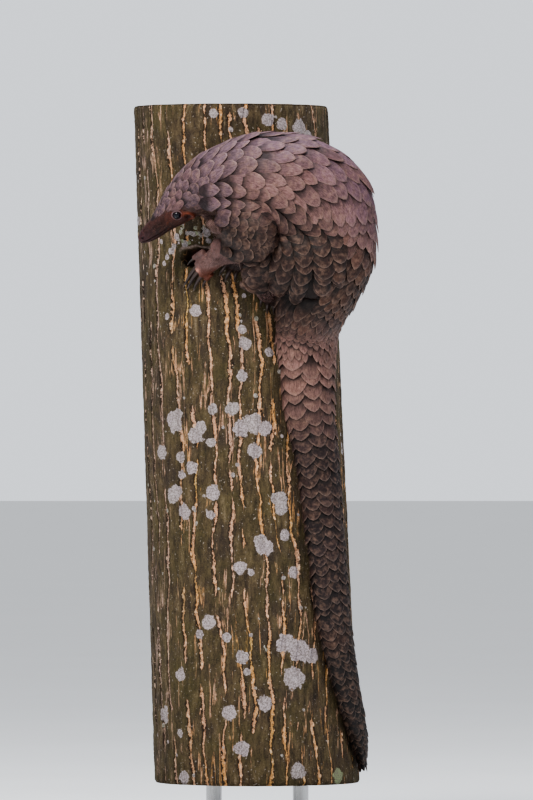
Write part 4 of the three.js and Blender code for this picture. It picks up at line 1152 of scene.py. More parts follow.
# the files of scales over the shoulder, the thigh, the knee and the arm, outermost first
FLANK_FILES = [
    (Line((303, 201, 13), (314, 208, 17), (323, 220, 18), (331, 234, 17.5), (335, 248, 16), (336.7, 263, 14),
          (336.4, 273, 12),
          (335, 283, 9)), 12.5, 9.0, (1.0, 2.6)),
    (Line((196, 190, 14), (213, 190, 15), (228, 190.5, 15), (241, 192.5, 15.5), (257, 194.5, 16),
          (272, 198, 16),
          (283, 204.3, 16), (294.3, 213, 16), (304.3, 222, 16), (313.6, 233, 16.5), (319.3, 244, 17),
          (322, 256, 17.5),
          (323, 267, 17), (321.4, 279, 15), (319, 291, 10)), 13.0, 8.5, (0.3, 3.6)),
    (Line((199, 200, 13), (216, 203, 13), (230, 205.5, 13), (243, 206.5, 13), (254, 207.5, 13),
          (266, 211.5, 13.5),
          (275.7, 218.5, 14), (284.3, 226, 15), (293, 234, 16), (299.3, 242, 16.5), (303, 250, 17),
          (304.6, 259, 17),
          (304.3, 269, 17), (300.7, 281, 16), (296.5, 294, 10)), 12.0, 9.0, (0.5, 3.8)),
]
KNEE_FILES = [
    (Line((280, 268, 8), (276, 279, 11), (268, 286, 13), (256, 288, 13), (242, 284, 9)), 11.0, 11.0,
     (0.6, 1.6)),
    (Line((271, 224, 9), (281.4, 234.5, 12), (287, 244.5, 14), (289.3, 256, 16), (288.6, 267, 17),
          (284.3, 278, 16),
          (277.5, 290, 10)), 14.0, 11.0, (1.2, 3.4)),
    (Line((272, 236, 10), (278.6, 248.5, 13), (278.6, 260, 16), (272.5, 271, 18), (261.5, 279, 17),
          (246, 280, 12)), 13.0, 12.0,
     (1.2, 2.2)),
    (Line((266, 246, 9), (269.5, 256, 12), (265.7, 265.5, 13), (256, 271, 13), (243, 271, 9)), 12.0, 12.0,
     (2.0, 2.8)),
    (Line((257, 250, 9), (259, 257, 11), (254, 263, 11), (241, 263, 8)), 10.0, 11.0, (2.6, 3.2)),
]
ARM_FILES = [
    Line((216, 212.5, 10), (228, 213.5, 11), (242, 215, 11), (255, 217.5, 11), (267, 222, 10.5),
         (279, 231, 9)),
    Line((219, 221, 10), (231, 223.5, 11), (245, 225.5, 11), (259, 228, 11), (272, 233.5, 10)),
    Line((222, 231, 10), (235, 233.5, 11), (248, 235.5, 11), (262, 237.5, 11), (275, 242, 9)),
    Line((221, 240.5, 9), (232, 243, 10.5), (244, 245, 11), (256, 246, 10.5), (270, 247, 8)),
    Line((220, 248, 8), (231, 252, 10), (243, 254, 10), (254, 253, 9), (265, 251, 7)),
]


def limb_coat():
    coat = Coat("scales_limbs", 77)
    all_over, no_arms = Sheet(HULL), Sheet(BODY_HULL)
    drawn = (0.6, 0.26, 0.3, 0.3)
    for line, first, last, base in FLANK_FILES:
        coat.on_line(all_over, line, lambda q: lerp(first, last, smooth(0.35, 0.95, q / line.length)), 3.4,
                     drawn, base=base,
                     spread=1.1, point=0.5, crown=1.5, tilt=0.5, turn=4.0)
    for line, first, last, base in KNEE_FILES:
        coat.on_line(no_arms, line, lambda q: lerp(first, last, q / line.length), 2.4, drawn, base=base,
                     spread=1.1,
                     point=0.35, crown=1.3, tilt=0.4, turn=3.0)
    for k, line in enumerate(ARM_FILES):
        coat.on_line(all_over, line, lambda q: 9.0, 2.3, drawn, start=-4.5 * (k % 2), base=(0.3, 0.5),
                     spread=1.35,
                     longer=1.9, point=0.0, crown=0.8, tilt=0.2, turn=14.0, thick=0.65, wave=0.08, first=0.8)
    hidden = (("arm_right", 10, 8.5, 0.8, 1.9, 0.02), ("thigh_right", 8, 11.0, 0.9, 3.0, 0.6))
    for name, count, pitch, reach, tip, row in hidden:
        tube = limbs[name]
        s, share, step = files(tube, np.arange(count) / count, 2, tube.length - 6, lambda s: pitch + 0 * s)
        here = round_share(share) < reach
        s, share, step = s[here], share[here], step[here]
        width = tube.girth_at(s) / count * 1.4
        coat.on_tube(tube, s, share, width, np.maximum(2.1 * step, width), tip, body_tint,
                     (0.8, row, 0.18, 0.2),
                     hull=HULL, most=3.0, thick=0.7)
    coat.finish()


body_coat()
tail_coat()
limb_coat()


# Skin

MAUVE = srgb(108, 82, 79)
FACE, NOSE, BROW = srgb(104, 50, 30), srgb(60, 36, 40), srgb(72, 48, 46)
PALM, BELLY = srgb(96, 48, 30), srgb(72, 52, 45)


def eye_centre(side):
    centre, _, up, left, above, _, wide, _ = (q[0] for q in body.frame([EYE_RING]))
    angle = math.radians(95)
    return centre + up * math.cos(angle) * (above - 1.5) + left * side * math.sin(angle) * (wide - 1.7)


def eye_axis(side):
    """The way an eye looks: outwards, and a little forwards."""
    _, rear, _, left, *_ = body.frame([EYE_RING])
    return unit(left[0] * side - 0.25 * rear[0])


def on_cheek(behind, degrees, side, lift):
    centre, _, up, left, above, below, wide, _ = (q[0] for q in body.frame([EYE + behind]))
    angle = math.radians(degrees)
    high = math.cos(angle) * ((above if math.cos(angle) > 0 else below) + lift)
    return centre + up * high + left * side * math.sin(angle) * (wide + lift)


def ridge(distance, width):
    return np.exp(-((distance / width) ** 2))


def head_skin():
    """The head as a fine grid, with nostrils, lips, lids, brows, cheeks and the folds of the ears."""
    s = np.concatenate([np.linspace(0.15, 3, 10), np.arange(3.35, 34, 0.42), np.arange(34, 70, 0.5),
                        np.arange(70, NAPE + 14, 1.0)])
    columns = 264
    share = np.arange(columns) / columns
    ss, sh = np.repeat(s, columns), np.tile(share, len(s))
    p, n = body.sample(ss, sh)
    centre, rear, up, left, _, below, _, _ = body.frame(ss)
    d = p - centre
    high = np.sum(d * up, 1)
    wide = np.sum(d * left, 1)
    push = np.zeros(len(p))
    # the seam with the body lies under the coat
    push -= 1.0 * smooth(NAPE + 2, NAPE + 12, ss)
    # nose pad, a groove behind it and between the nostrils
    push -= 0.28 * ridge(ss - 9.5, 1.1) * smooth(-2, 2, high)
    push -= 0.5 * ridge(wide, 0.9) * smooth(7, 2, ss) * smooth(-3, 1, high)
    # the lips part along a line below the middle of the muzzle
    line = high + 0.46 * below - 0.25 * np.sin(ss / 6)
    mouth = smooth(34, 27, ss) * smooth(0.6, 2.0, ss)
    push -= 1.25 * ridge(line, 0.42) * mouth
    push += 0.35 * ridge(line - 1.5, 1.0) * mouth + 0.25 * ridge(line + 1.6, 1.0) * mouth
    # slight hollows below the brow and along the muzzle
    push -= 0.7 * ridge(high - 1.5, 4.5) * ridge(ss - 29, 9)
    push += 0.5 * noise(p, 9, 21) * smooth(6, 20, ss) * 0.5
    push += 0.16 * noise(p, 2.4, 22)
    fiery = np.zeros(len(p))
    for way in (1, -1):
        fiery = np.maximum(fiery, ridge(np.linalg.norm(p - eye_centre(way), axis=1), 13.0))
    tint = lerp(srgb(48, 27, 25), FACE, fiery[:, None])
    tint = lerp(tint, BROW, smooth(3, 10, high)[:, None] * 0.7)
    # painted shade: the lower half of the head and the cheeks under the eyes darker, less so near the eyes
    tint = lerp(tint, srgb(34, 19, 17), (smooth(2, -5, high) * (1 - 0.5 * fiery))[:, None] * 0.9)
    tint = lerp(tint, NOSE, smooth(22, 5, ss)[:, None] * 0.8)
    mottled = layered(p, 5.5, 31)[:, None]
    tint = lerp(tint, srgb(136, 72, 42), smooth(0.15, 0.6, mottled) * 0.5 * (0.15 + 0.85 * fiery)[:, None])
    tint = lerp(tint, srgb(96, 56, 50), smooth(0.1, 0.55, -mottled) * 0.4)
    for way in (1, -1):
        flat = p - eye_centre(way)
        out_axis = eye_axis(way)
        across = flat - np.outer(flat @ out_axis, out_axis)
        r = np.linalg.norm(across, axis=1)
        near = (flat @ out_axis > -7).astype(float)
        push -= 0.9 * ridge(r, 8.0) * near * smooth(3.5, 5.2, r)
        push -= 4.2 * smooth(4.35, 3.5, r) * near
        push += 1.15 * ridge(r - LID_RADIUS - 0.15, 0.62) * near
        push -= 0.3 * ridge(r - 6.5, 0.45) * near
        push += 0.22 * ridge(r - 7.3, 0.5) * near - 0.2 * ridge(r - 8.4, 0.45) * near
        lid = (ridge(r - LID_RADIUS - 0.2, 0.6) * near)[:, None]
        tint = lerp(tint, srgb(66, 40, 38), (ridge(r - 7.6, 3.0) * near)[:, None] * 0.4)
        tint = lerp(tint, srgb(118, 98, 100), np.clip(lid * 1.1, 0, 1))
        # painted shade: the skin in the socket around the eyeball near-black
        tint = lerp(tint, srgb(30, 20, 22), (smooth(4.5, 3.9, r) * near)[:, None])
        # the nostril
        fc, fr, fu, fl = (q[0] for q in body.frame([4.2])[:4])
        nostril = fc + fl * way * 4.6 + fu * 1.8
        q = p - nostril
        oval = np.sqrt((q @ fr / 1.5) ** 2 + (q @ fu / 1.0) ** 2 + (q @ fl / 1.6) ** 2)
        push -= 1.6 * ridge(oval, 1.15)
        push += 0.4 * ridge(oval - 2.1, 0.7)
        # painted shade inside the nostril
        tint = lerp(tint, srgb(24, 12, 16), ridge(oval, 1.2)[:, None])
        # the fold of the ear, a crescent open to the front, with its hollow
        turn = np.linspace(math.radians(-84), math.radians(84), 24)
        fold = np.array([on_cheek(4 + 7.5 * math.cos(t), 126 - 21 * math.sin(t), way, 0.4) for t in turn])
        full = np.sin(np.pi * (np.arange(24) + 1) / 25)
        reach = np.linalg.norm(p[:, None] - fold[None], axis=2)
        k = reach.argmin(1)
        gap = reach[np.arange(len(p)), k]
        push += 2.2 * full[k] * ridge(gap, 1.9)
        tint = lerp(tint, srgb(120, 58, 36), ridge(gap, 2.4)[:, None] * 0.8)
        hollow = np.linalg.norm(p - on_cheek(7, 126, way, 0.4), axis=1)
        push -= 2.2 * ridge(hollow, 3.0)
        # painted shade: the hollow under the fold of the ear darker
        tint = lerp(tint, srgb(74, 36, 32), ridge(hollow, 3.4)[:, None] * 0.85)
        cheek = np.linalg.norm(p - on_cheek(-3, 140, way, 0), axis=1)
        push += 0.8 * ridge(cheek, 8)
    throat = smooth(EYE + 6, EYE + 22, ss) * smooth(0.62, 0.8, round_share(sh))
    tint = lerp(tint, BELLY, throat[:, None])
    horn = smooth(0.0, -0.05, round_share(sh) - head_cover(ss)) * smooth(EYE - 26, EYE - 22, ss)
    tint = lerp(tint, srgb(74, 54, 50), horn[:, None])
    # painted shade in the crease where the lips part
    mouth_dark = (ridge(line, 0.5) * mouth)[:, None]
    tint = lerp(tint, srgb(40, 20, 22), mouth_dark * 0.9)
    p = p + n * push[:, None]
    front = p[:columns].mean(0) - rear[0] * 0.15
    back = body.frame([s[-1] - 4])[0]
    points = np.concatenate([p, [front], back])
    k = len(p)
    faces = [grid_faces(len(s), columns), fan(np.arange(columns), k, True),
             fan(np.arange(k - columns, k), k + 1)]
    tint = np.concatenate([tint, tint[:1], tint[-1:]])
    return points, faces, tint


def whole_skin():
    head_points, head_faces, head_tint = head_skin()
    # the hull gives way to the fine head
    centre = body.frame(np.arange(0, NAPE + 30, 1.0))
    along = np.arange(0, NAPE + 30, 1.0)
    hull = hull_points.copy()
    gap = np.linalg.norm(hull[:, None, :] - centre[0][None, ::6, :], axis=2)
    s_near = along[::6][gap.argmin(1)]
    k = np.clip(s_near.astype(int), 0, len(along) - 1)
    axial = np.sum((hull - centre[0][k]) * centre[1][k], axis=1) + along[k]
    inside = smooth(NAPE + 6, NAPE - 4, axial) * (hull[:, 0] < at(222, 0)[0])
    toward = unit(centre[0][k] - hull)
    hull = hull + toward * (1.6 * inside + 1.5 * smooth(NAPE - 10, NAPE - 60, axial) * (inside > 0))[:, None]
    # bare belly and throat
    rows = np.arange(0, TIP, 2.0)
    c, _, up, _, _, _, _, _ = body.frame(rows)
    near = np.linalg.norm(hull[:, None, :] - c[None, ::3, :], axis=2).argmin(1) * 3
    under = np.sum(unit(hull - c[near]) * up[near], axis=1)
    bare = smooth(-0.45, -0.75, under) * smooth(TAIL - 6, TAIL - 30, rows[near])
    chest = smooth(at(226, 0)[0], at(236, 0)[0], hull[:, 0])
    bare = bare * (1 - chest * smooth(at(0, 0, -128)[1], at(0, 0, -140)[1], hull[:, 1]))
    # painted shade: the skin under the scales near-black, so the gaps between scales read dark; the bare
    # belly and throat keep their colour
    tint = lerp(srgb(34, 23, 20), BELLY, bare[:, None])
    wrist = limbs["arm_left"].sample([limbs["arm_left"].length], [0.0])[0][0]
    tint = lerp(tint, MAUVE, smooth(24, 12, np.linalg.norm(hull - wrist, axis=1))[:, None])
    pieces = [(hull, hull_triangles), (head_points, *head_faces)]
    tints = [tint, head_tint]
    for name, foot in FEET.items():
        points, triangles = remeshed(name + "_skin", foot_pieces(foot), 0.75, 5)
        points = points + 0.22 * noise(points, 3.0, 51)[:, None] * unit(points - points.mean(0))
        # painted shade: the right hand and the feet, in shade under the body, are painted dark; the left hand
        # keeps its mauve
        skin = MAUVE if name == "hand_left" else srgb(46, 33, 31)
        colour = lerp(skin, 0.6 * skin, smooth(-0.2, 0.5, layered(points, 6, 8))[:, None] * 0.6)
        if name == "hand_left":
            palm = smooth(0, 8, (points[:, 2] - at(0, 266)[2]) * -1 + (points[:, 0] - at(206, 0)[0]) * 0.35)
            colour = lerp(colour, PALM, palm[:, None] * 0.85)
            pad = np.linalg.norm((points - at(196.5, 270.5, -105))[:, [0, 2]], axis=1)
            colour = lerp(colour, srgb(214, 150, 134), ridge(pad, 2.6)[:, None] * 0.9)
        pieces.append((points, triangles))
        tints.append(colour)
    points, faces = joined(pieces)
    skin = make("pangolin_skin", points, faces, SKIN, True, None, {"tint": np.concatenate(tints)})
    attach(skin, "root")
    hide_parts("head", "ear_left", "ear_right", "neck", "torso", "rump", "tail_1", "tail_2", "tail_3",
                "tail_4",
                "thigh_left", "shank_left", "arm_left", "arm_right", "thigh_right",
                "hand_left", "hand_right", "foot_left", "foot_right")


whole_skin()


# Eyes and claws


def eyes():
    for side, name in ((1, "left"), (-1, "right")):
        centre = eye_centre(side)
        facing = eye_axis(side)
        aside = unit(np.cross(facing, [0.0, 0.0, 1.0]))
        high = np.cross(aside, facing)
        polar, turn = np.linspace(0, np.pi, 41), np.linspace(0, 2 * np.pi, 49)[:-1]
        a, b = np.meshgrid(polar[1:-1], turn, indexing="ij")
        bulge = 1 + 0.06 * np.exp(-((a / 0.55) ** 2))
        ring = aside * np.cos(b)[..., None] + high * np.sin(b)[..., None]
        ball = facing * np.cos(a)[..., None] + ring * np.sin(a)[..., None]
        points = centre + (ball * bulge[..., None]).reshape(-1, 3) * EYE_RADIUS
        points = np.concatenate([points, [centre + facing * EYE_RADIUS * 1.06, centre - facing * EYE_RADIUS]])
        k = len(points) - 2
        faces = [grid_faces(39, 48), fan(np.arange(48), k, True), fan(np.arange(k - 48, k), k + 1)]
        iris = np.concatenate([np.clip(1 - a.ravel() / 1.35, 0, 1), [1, 0]])
        eye = make(f"eyeball_{name}", points, faces, EYE_LOOK, True, {"iris": iris})
        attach(eye, "root")
        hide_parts(f"eye_{name}")


def claws():
    for name, foot in FEET.items():
        for i, (start, end, tip, _, size) in enumerate(foot["fingers"]):
            root = [lerp(a, b, 0.62) for a, b in zip(start, end)]
            last = on_bark(tip[0], tip[1], 1.3)
            middle = [lerp(a, b, 0.45) for a, b in zip(end, last)]
            raised = on_bark(middle[0], middle[1], size + 3.2)
            tube = Tube(
                [[*root, size * 1.02, size * 0.9, size * 0.82],
                 [middle[0], middle[1], min(raised[2], middle[2]), size * 0.9, size * 0.7, size * 0.66],
                 [*last, 0.5, 0.4, 0.4]],
                outer=(-0.2, -1, 0.4), ends=(2, 2), step=0.25, around=64,
            )
            rows = np.linspace(0, tube.length, 30)
            points, sides, caps = tube.shell(rows, 24)
            share = np.tile(np.arange(24) / 24, 30)
            along = np.concatenate([np.repeat(np.linspace(0, 1, 30), 24), [0, 1]])
            x = np.concatenate([(share - 0.5) * 24 * size / 3, [0, 0]])
            grain = np.column_stack([x, along * tube.length, np.full(len(x), 7.0 * i)])
            claw = make(f"horn_{name}_{i + 1}", points, [sides, caps], CLAW, True,
                        {"along": along, "grain": grain})
            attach(claw, "root")
            limb, way = name.split("_")
            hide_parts(f"claw_{limb}_{way}_{i + 1}")


eyes()
claws()


# The trunk

FRONT_CRACKS = [-74, -64, -54, -40.5, -30.7, -18, -8, -1.7, 9.2, 17.5, 27, 37, 47, 58, 69, 80]
KNOT = (195.0, 255.5)


def sway(angle, down):
    return (
        0.026 * np.sin(3 * angle + down / 47)
        + 0.018 * np.sin(5 * angle - down / 29 + 1)
        + 0.010 * np.sin(2 * angle + down / 11)
        + 0.006 * np.sin(9 * angle + down / 5.3)
    )


def knot_shape(across, down):
    """How far inside the knot hole a place is: 1 at its middle, 0 at the rim; flat above, narrowing below."""
    y = (down - KNOT[1]) / 10.5
    x = (across - KNOT[0] + 2.5 * y) / (15.5 - 4.5 * np.clip(y, -1, 1))
    return 1 - (np.abs(x) ** 2.6 + np.abs(y - 0.05) ** 2.6) ** (1 / 2.6)


# the larger lichens: across, down and size
LICHENS = [
    (194.6, 310, 6.5), (244, 295, 2.6), (166, 316, 3.6), (244.5, 343, 6.5), (242, 329, 5), (269.5, 352, 5),
    (242, 375, 6),
    (212, 409, 6), (232, 409, 7), (174, 423, 10), (177, 414, 6), (170, 419, 7), (194.5, 436, 9),
    (200, 428, 7), (210.5, 443, 5),
    (242, 428, 9), (252, 424, 11), (265, 428, 8), (254.5, 452, 8), (160, 453, 8), (179.5, 457, 6),
    (191, 468, 7), (181, 475, 5),
    (172, 495, 9), (176, 492, 7), (212.5, 493, 8), (280, 500, 9), (281, 509, 7), (183, 513, 8),
    (210.5, 516, 5), (285, 536, 6),
    (265, 548, 9), (261, 541, 7), (240, 568, 7), (251, 573, 4), (294.5, 573, 6), (208, 623, 8), (199, 636, 5),
    (226, 639, 5),
    (286, 645, 10), (300, 652, 12), (313, 657, 8), (294.5, 680, 12), (242, 659, 7), (179, 677, 7),
    (247, 673, 4),
    (265, 704.5, 8), (163, 718, 9), (179, 736, 5), (229, 714, 8), (242, 750, 8), (299, 773, 9), (183, 780, 7),
    (268, 118, 7),
    (282, 122, 6), (300, 126, 9), (309, 134, 6), (243, 111, 6), (213, 112, 5), (231, 128, 3), (176, 236, 4),
    (184, 243, 3.5),
    (170, 250, 4), (206, 232, 5), (163, 262, 3), (173, 245, 3), (166, 256, 3), (208, 240, 3), (214, 229, 4),
    (160, 240, 2.5),
]


def lichen_places(rng):
    """Rows of turn, down, size and greenness: those placed in front, then at random clusters behind,
    specks over the front, and moss below the head."""
    rows = []
    for across, down, size in LICHENS:
        x = (across - trunk_across(down)) / (trunk_radius(down) + 0.5)
        if abs(x) < 0.99:
            rows.append((math.asin(x), down, size, rng.uniform(0, 0.12)))
    for down in rng.uniform(TRUNK_TOP + 8, TRUNK_BOTTOM - 8, 52):
        turn = rng.uniform(82, 286)
        for _ in range(rng.integers(1, 7)):
            rows.append((math.radians(turn + rng.normal(0, 7)), down + rng.normal(0, 13),
                         2 + 6.5 * rng.uniform() ** 1.6,
                         rng.uniform(0, 0.25)))
    for _ in range(120):
        rows.append((math.radians(rng.uniform(-88, 88)), rng.uniform(110, 790), rng.uniform(1.0, 2.6),
                     rng.uniform(0, 0.6)))
    rows.append((math.asin((340 - trunk_across(781)) / trunk_radius(781) * 0.985), 779, 8.5, 1.0))
    for _ in range(26):
        down = rng.uniform(222, 243)
        rows.append((math.asin((rng.uniform(178, 206) - trunk_across(down)) / trunk_radius(down)), down,
                     rng.uniform(0.9, 2.6),
                     rng.uniform(0, 1.0)))
    return np.array(rows)


def trunk():
    rng = np.random.default_rng(5)
    back = np.arange(91, 278, 11.4)
    lines = np.radians(np.concatenate([FRONT_CRACKS, back + rng.uniform(-2.4, 2.4, len(back))]))
    count = len(lines)
    downs = np.unique(np.concatenate([
        np.arange(TRUNK_TOP, 236, 1.9), np.arange(236, 278, 1.1), np.arange(278, TRUNK_BOTTOM, 1.9),
        [TRUNK_BOTTOM],
    ]))
    radius = trunk_radius(downs)
    line_at = np.arange(count)
    centre_lines = lines[None] + sway(lines[None], downs[:, None]) + rng.normal(0, 0.002, (len(downs), count))
    drift = lambda size, step, seed: noise(
        np.stack(np.broadcast_arrays(downs[:, None] / size, line_at[None] * step, seed / 7), -1), 1.0, seed)
    open_ = smooth(-0.34, -0.16, drift(38, 3.3, 73) + 0.3 * drift(13, 9.7, 71))
    open_ = open_ * (0.55 + 0.6 * smooth(-0.5, 0.5, drift(16, 2.1, 74)))
    half = np.clip(1.5 + 0.6 * drift(9, 5.1, 72), 0.5, 2.6)
    cells = 10
    angle, sink, away, gape = [], [], [], []
    for i in range(count):
        j = (i + 1) % count
        here, there = centre_lines[:, i], centre_lines[:, j] + (2 * np.pi if j == 0 else 0)
        h0, h1, o0, o1 = half[:, i], half[:, j], open_[:, i], open_[:, j]
        gap = (there - here) * radius
        a0, b0 = here + h0 / radius, here + (h0 + 0.8) / radius
        a1, b1 = there - h1 / radius, there - (h1 + 0.8) / radius
        for turn, deep in ((here, 1.1 * o0), (a0, 1.0 * o0), (b0, -0.25 * o0)):
            angle.append(turn), sink.append(deep)
        for k in range(1, cells):
            angle.append(lerp(b0, b1, k / cells)), sink.append(0 * gap)
        angle.append(b1), sink.append(-0.25 * o1)
        angle.append(a1), sink.append(1.0 * o1)
        for turn in angle[-(cells + 4):]:
            from_here = (turn - here) * radius
            away.append(np.minimum(from_here, gap - from_here))
            gape.append(np.where(from_here < gap / 2, o0, o1))
    angle, sink, away, gape = (np.stack(a, 1) for a in (angle, sink, away, gape))
    rows, columns = angle.shape
    down = np.tile(downs[:, None], (1, columns))
    r = np.tile(radius[:, None], (1, columns))
    flat = np.stack([r * np.sin(angle), -r * np.cos(angle), down], -1)
    rough = 0.7 * layered(flat * [1, 1, 0.35], 9, 61, 4) + 0.35 * noise(flat * [1, 1, 0.6], 2.6, 62)
    crumbs = 0.5 * noise(flat, 1.7, 63) * smooth(2.6, 1.4, away) * gape
    lichen, green = np.full(r.shape, -1.0), np.zeros(r.shape)
    for turn, height, size, tone in lichen_places(rng):
        x = (np.mod(angle - turn + np.pi, 2 * np.pi) - np.pi) * r
        field = 1 - np.hypot(x, down - height) / size
        field = np.where(field > -1, field, -1)
        green = np.where(field > lichen, tone, green)
        lichen = np.maximum(lichen, field)
    across = trunk_across(down) + r * np.sin(angle)
    wobble = [1.4 * noise(flat, 6, 81), 1.1 * noise(flat, 5, 82)]
    shape = np.where(np.cos(angle) > 0, knot_shape(across + wobble[0], down + wobble[1]), -9)
    hole = smooth(0.02, 0.3, shape)
    above = smooth(252, 246, down + 3 * noise(flat, 7, 84))
    callus = smooth(-0.18, -0.06, shape) * smooth(0.14, 0.02, shape) * above
    gape = gape * smooth(-0.12, -0.35, shape)
    r = r - sink * smooth(-0.1, -0.4, shape) + rough + crumbs + 0.25 * smooth(0, 0.15, lichen)
    r = r + 0.8 * callus * (1 + 0.6 * noise(flat, 3, 83)) - 17 * hole
    edge = smooth(TRUNK_TOP + 3.2, TRUNK_TOP, down) + smooth(TRUNK_BOTTOM - 3.2, TRUNK_BOTTOM, down)
    r = r - 1.2 * edge**2
    points = np.stack([trunk_across(down) + r * np.sin(angle) - ACROSS, -r * np.cos(angle) - OUT,
                       DOWN - down], -1)
    points = points.reshape(-1, 3)
    values = {"open": gape, "away": away, "lichen": lichen, "green": green, "hollow": hole, "callus": callus,
              "wane": smooth(-0.45, -0.95, np.sin(angle)) * 0.8}
    values = {name: table.ravel() for name, table in values.items()}
    values["wood"] = values["radius"] = np.zeros(len(points))
    faces = [grid_faces(rows, columns)]
    # the cut ends, with their rings
    extra, k = [points], len(points)
    for which, row in ((0, 0), (1, rows - 1)):
        rim = points[row * columns : (row + 1) * columns]
        height = downs[row]
        middle = at(trunk_across(height), height)
        shares = [0.985, 0.96, 0.9, 0.75, 0.5, 0.25]
        ends = np.concatenate([*(middle + (rim - middle) * share for share in shares), [middle]])
        ends[:, 2] += (0.25 if which == 0 else -0.25) + 0.2 * noise(ends, 7, 91)
        extra.append(ends)
        inner = k + np.arange(len(ends))
        rings_at = [np.arange(row * columns, (row + 1) * columns)]
        rings_at += [inner[j * columns : (j + 1) * columns] for j in range(len(shares))]
        for a, b in zip(rings_at, rings_at[1:]):
            quad = np.column_stack([a, np.roll(a, -1), np.roll(b, -1), b])
            faces.append(quad if which else quad[:, ::-1])
        faces.append(fan(rings_at[-1], inner[-1], which == 0))
        fresh = {name: np.zeros(len(ends)) for name in values}
        fresh["lichen"] -= 1
        fresh["away"] += 9
        fresh["wood"] = np.ones(len(ends))
        fresh["radius"] = np.linalg.norm(ends - middle, axis=1)
        values = {name: np.concatenate([table, fresh[name]]) for name, table in values.items()}
        k += len(ends)
    bark = make("bark_trunk", np.concatenate(extra), faces, BARK, True, values)
    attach(bark, "root")
    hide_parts("perch_trunk")


trunk()


# The stand


def turned(name, profile, centre, around, look, node):
    """A round piece from a profile of radius and height, turned about an upright axis."""
    profile = np.array(profile, float)
    phi = np.linspace(0, 2 * np.pi, around + 1)[:-1]
    points = np.stack([
        centre[0] + np.outer(profile[:, 0], np.cos(phi)), centre[1] + np.outer(profile[:, 0], np.sin(phi)),
        np.tile(profile[:, 1:2], (1, around)),
    ], -1).reshape(-1, 3)
    low, high = len(points), len(points) + 1
    points = np.concatenate([points, [[*centre[:2], profile[0, 1]], [*centre[:2], profile[-1, 1]]]])
    faces = [grid_faces(len(profile), around)[:, ::-1], fan(np.arange(around), low, True),
             fan(np.arange(around) + (len(profile) - 1) * around, high)]
    thing = make(name, points, faces, look, True)
    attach(thing, "root")
    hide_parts(node)


def stand():
    r, h = BASE_RADIUS, BASE_HEIGHT
    bevel = [(r - 3 + 3 * math.sin(t), h - 3 + 3 * math.cos(t)) for t in np.linspace(np.pi / 2, 0, 7)]
    foot = [(r - 20, 0.0), (r - 1.0, 0.0), (r - 0.2, 0.3), (r, 1.0), (r, 4.0), (r, h - 5)]
    top = [(r - 3.4, h), (r - 10, h), (r * 0.6, h), (r * 0.2, h)]
    turned("base_plate", foot + bevel + top, (0, 0), 160, PAINT, "stand_base")
    floor = DOWN - TRUNK_BOTTOM
    for side, name in ((-1, "left"), (1, "right")):
        x, y = at(trunk_across(TRUNK_BOTTOM) + side * ROD_SPREAD, TRUNK_BOTTOM)[:2]
        z0, z1 = BASE_HEIGHT + 0.35, floor - 0.35
        collar = [(13.5, z0), (14.0, z0 + 0.5), (14.0, z0 + 2.6), (13.4, z0 + 3.2),
                  (ROD_RADIUS + 0.2, z0 + 3.4)]
        rod = [(ROD_RADIUS, z0 + 3.6), (ROD_RADIUS, z0 + 10), (ROD_RADIUS, z1 - 3), (ROD_RADIUS, z1 - 0.6),
               (ROD_RADIUS - 0.6, z1)]
        turned(f"rod_{name}", collar + rod, (x, y), 48, STEEL, f"stand_rod_{name}")


stand()


# Fur: thin tapered tufts, each rooted in the skin


class Fur:
    def __init__(self, name, seed):
        self.name, self.rng = name, np.random.default_rng(seed)
        self.points, self.faces, self.tint, self.along, self.patch, self.count = [], [], [], [], [], 0

    def grow(self, roots, normals, lie, length, width, colour, stand=0.35, curl=0.25, atlas=(0, 0),
             spread=0.3):
        rng = self.rng
        n = len(roots)
        if n == 0:
            return
        length = np.broadcast_to(length, (n,)) * rng.uniform(0.65, 1.25, n)
        width = np.broadcast_to(width, (n,)) * rng.uniform(0.7, 1.3, n)
        lie = unit(lie - normals * np.sum(lie * normals, 1, keepdims=True))
        side = np.cross(normals, lie)
        lie = unit(lie + side * rng.normal(0, spread, (n, 1)))
        side = np.cross(normals, lie)
        rise = np.clip(stand + rng.normal(0, 0.12, n), 0.05, 1.2)[:, None]
        bend = rng.normal(0, curl, (n, 1))
        rings = []
        for t in (0.0, 0.4, 0.75, 1.0):
            away = lie * t + normals * rise * (t - 0.35 * t * t) + side * bend * t * t
            mid = roots - normals * 0.4 + away * length[:, None]
            w = (width * (1 - 0.92 * t**1.3))[:, None] * 0.5
            if t == 1.0:
                rings.append(mid[:, None])
            else:
                rings.append(np.stack([mid + side * w, mid + normals * w * 0.9, mid - side * w], 1))
        points = np.concatenate(rings, 1)
        per = points.shape[1]
        template = []
        for level in range(2):
            for k in range(3):
                a, b = level * 3 + k, level * 3 + (k + 1) % 3
                template += [[a, b, b + 3], [a, b + 3, a + 3]]
        template += [[6 + k, 6 + (k + 1) % 3, 9] for k in range(3)]
        template = np.array(template)
        faces = (template[None] + (np.arange(n) * per)[:, None, None]).reshape(-1, 3) + self.count
        self.points.append(points.reshape(-1, 3))
        self.faces.append(faces)
        self.tint.append(np.repeat(colour * rng.uniform(0.8, 1.2, (n, 1)), per, 0))
        self.along.append(np.tile([0, 0, 0, 0.4, 0.4, 0.4, 0.75, 0.75, 0.75, 1.0], n))
        base = np.column_stack([atlas[0] + 0.1 * ((roots[:, 0] + 120) / 240),
                                atlas[1] + 0.3 * (roots[:, 2] / 720)])
        corner = np.array([[-1, -1], [0, -1], [1, -1], [-1, 0], [0, 0], [1, 0], [-0.5, 0.7], [0, 0.7],
                           [0.5, 0.7], [0, 1]])
        self.patch.append((base[:, None] + corner[None] * ATLAS_PATCH).reshape(-1, 2))
        self.count += n * per

    def finish(self):
        thing = make(self.name, np.concatenate(self.points), [np.concatenate(self.faces)], HAIR, True,
                     {"along": np.concatenate(self.along)}, {"tint": np.concatenate(self.tint)})
        baked(thing, np.concatenate(self.patch))
        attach(thing, "root")


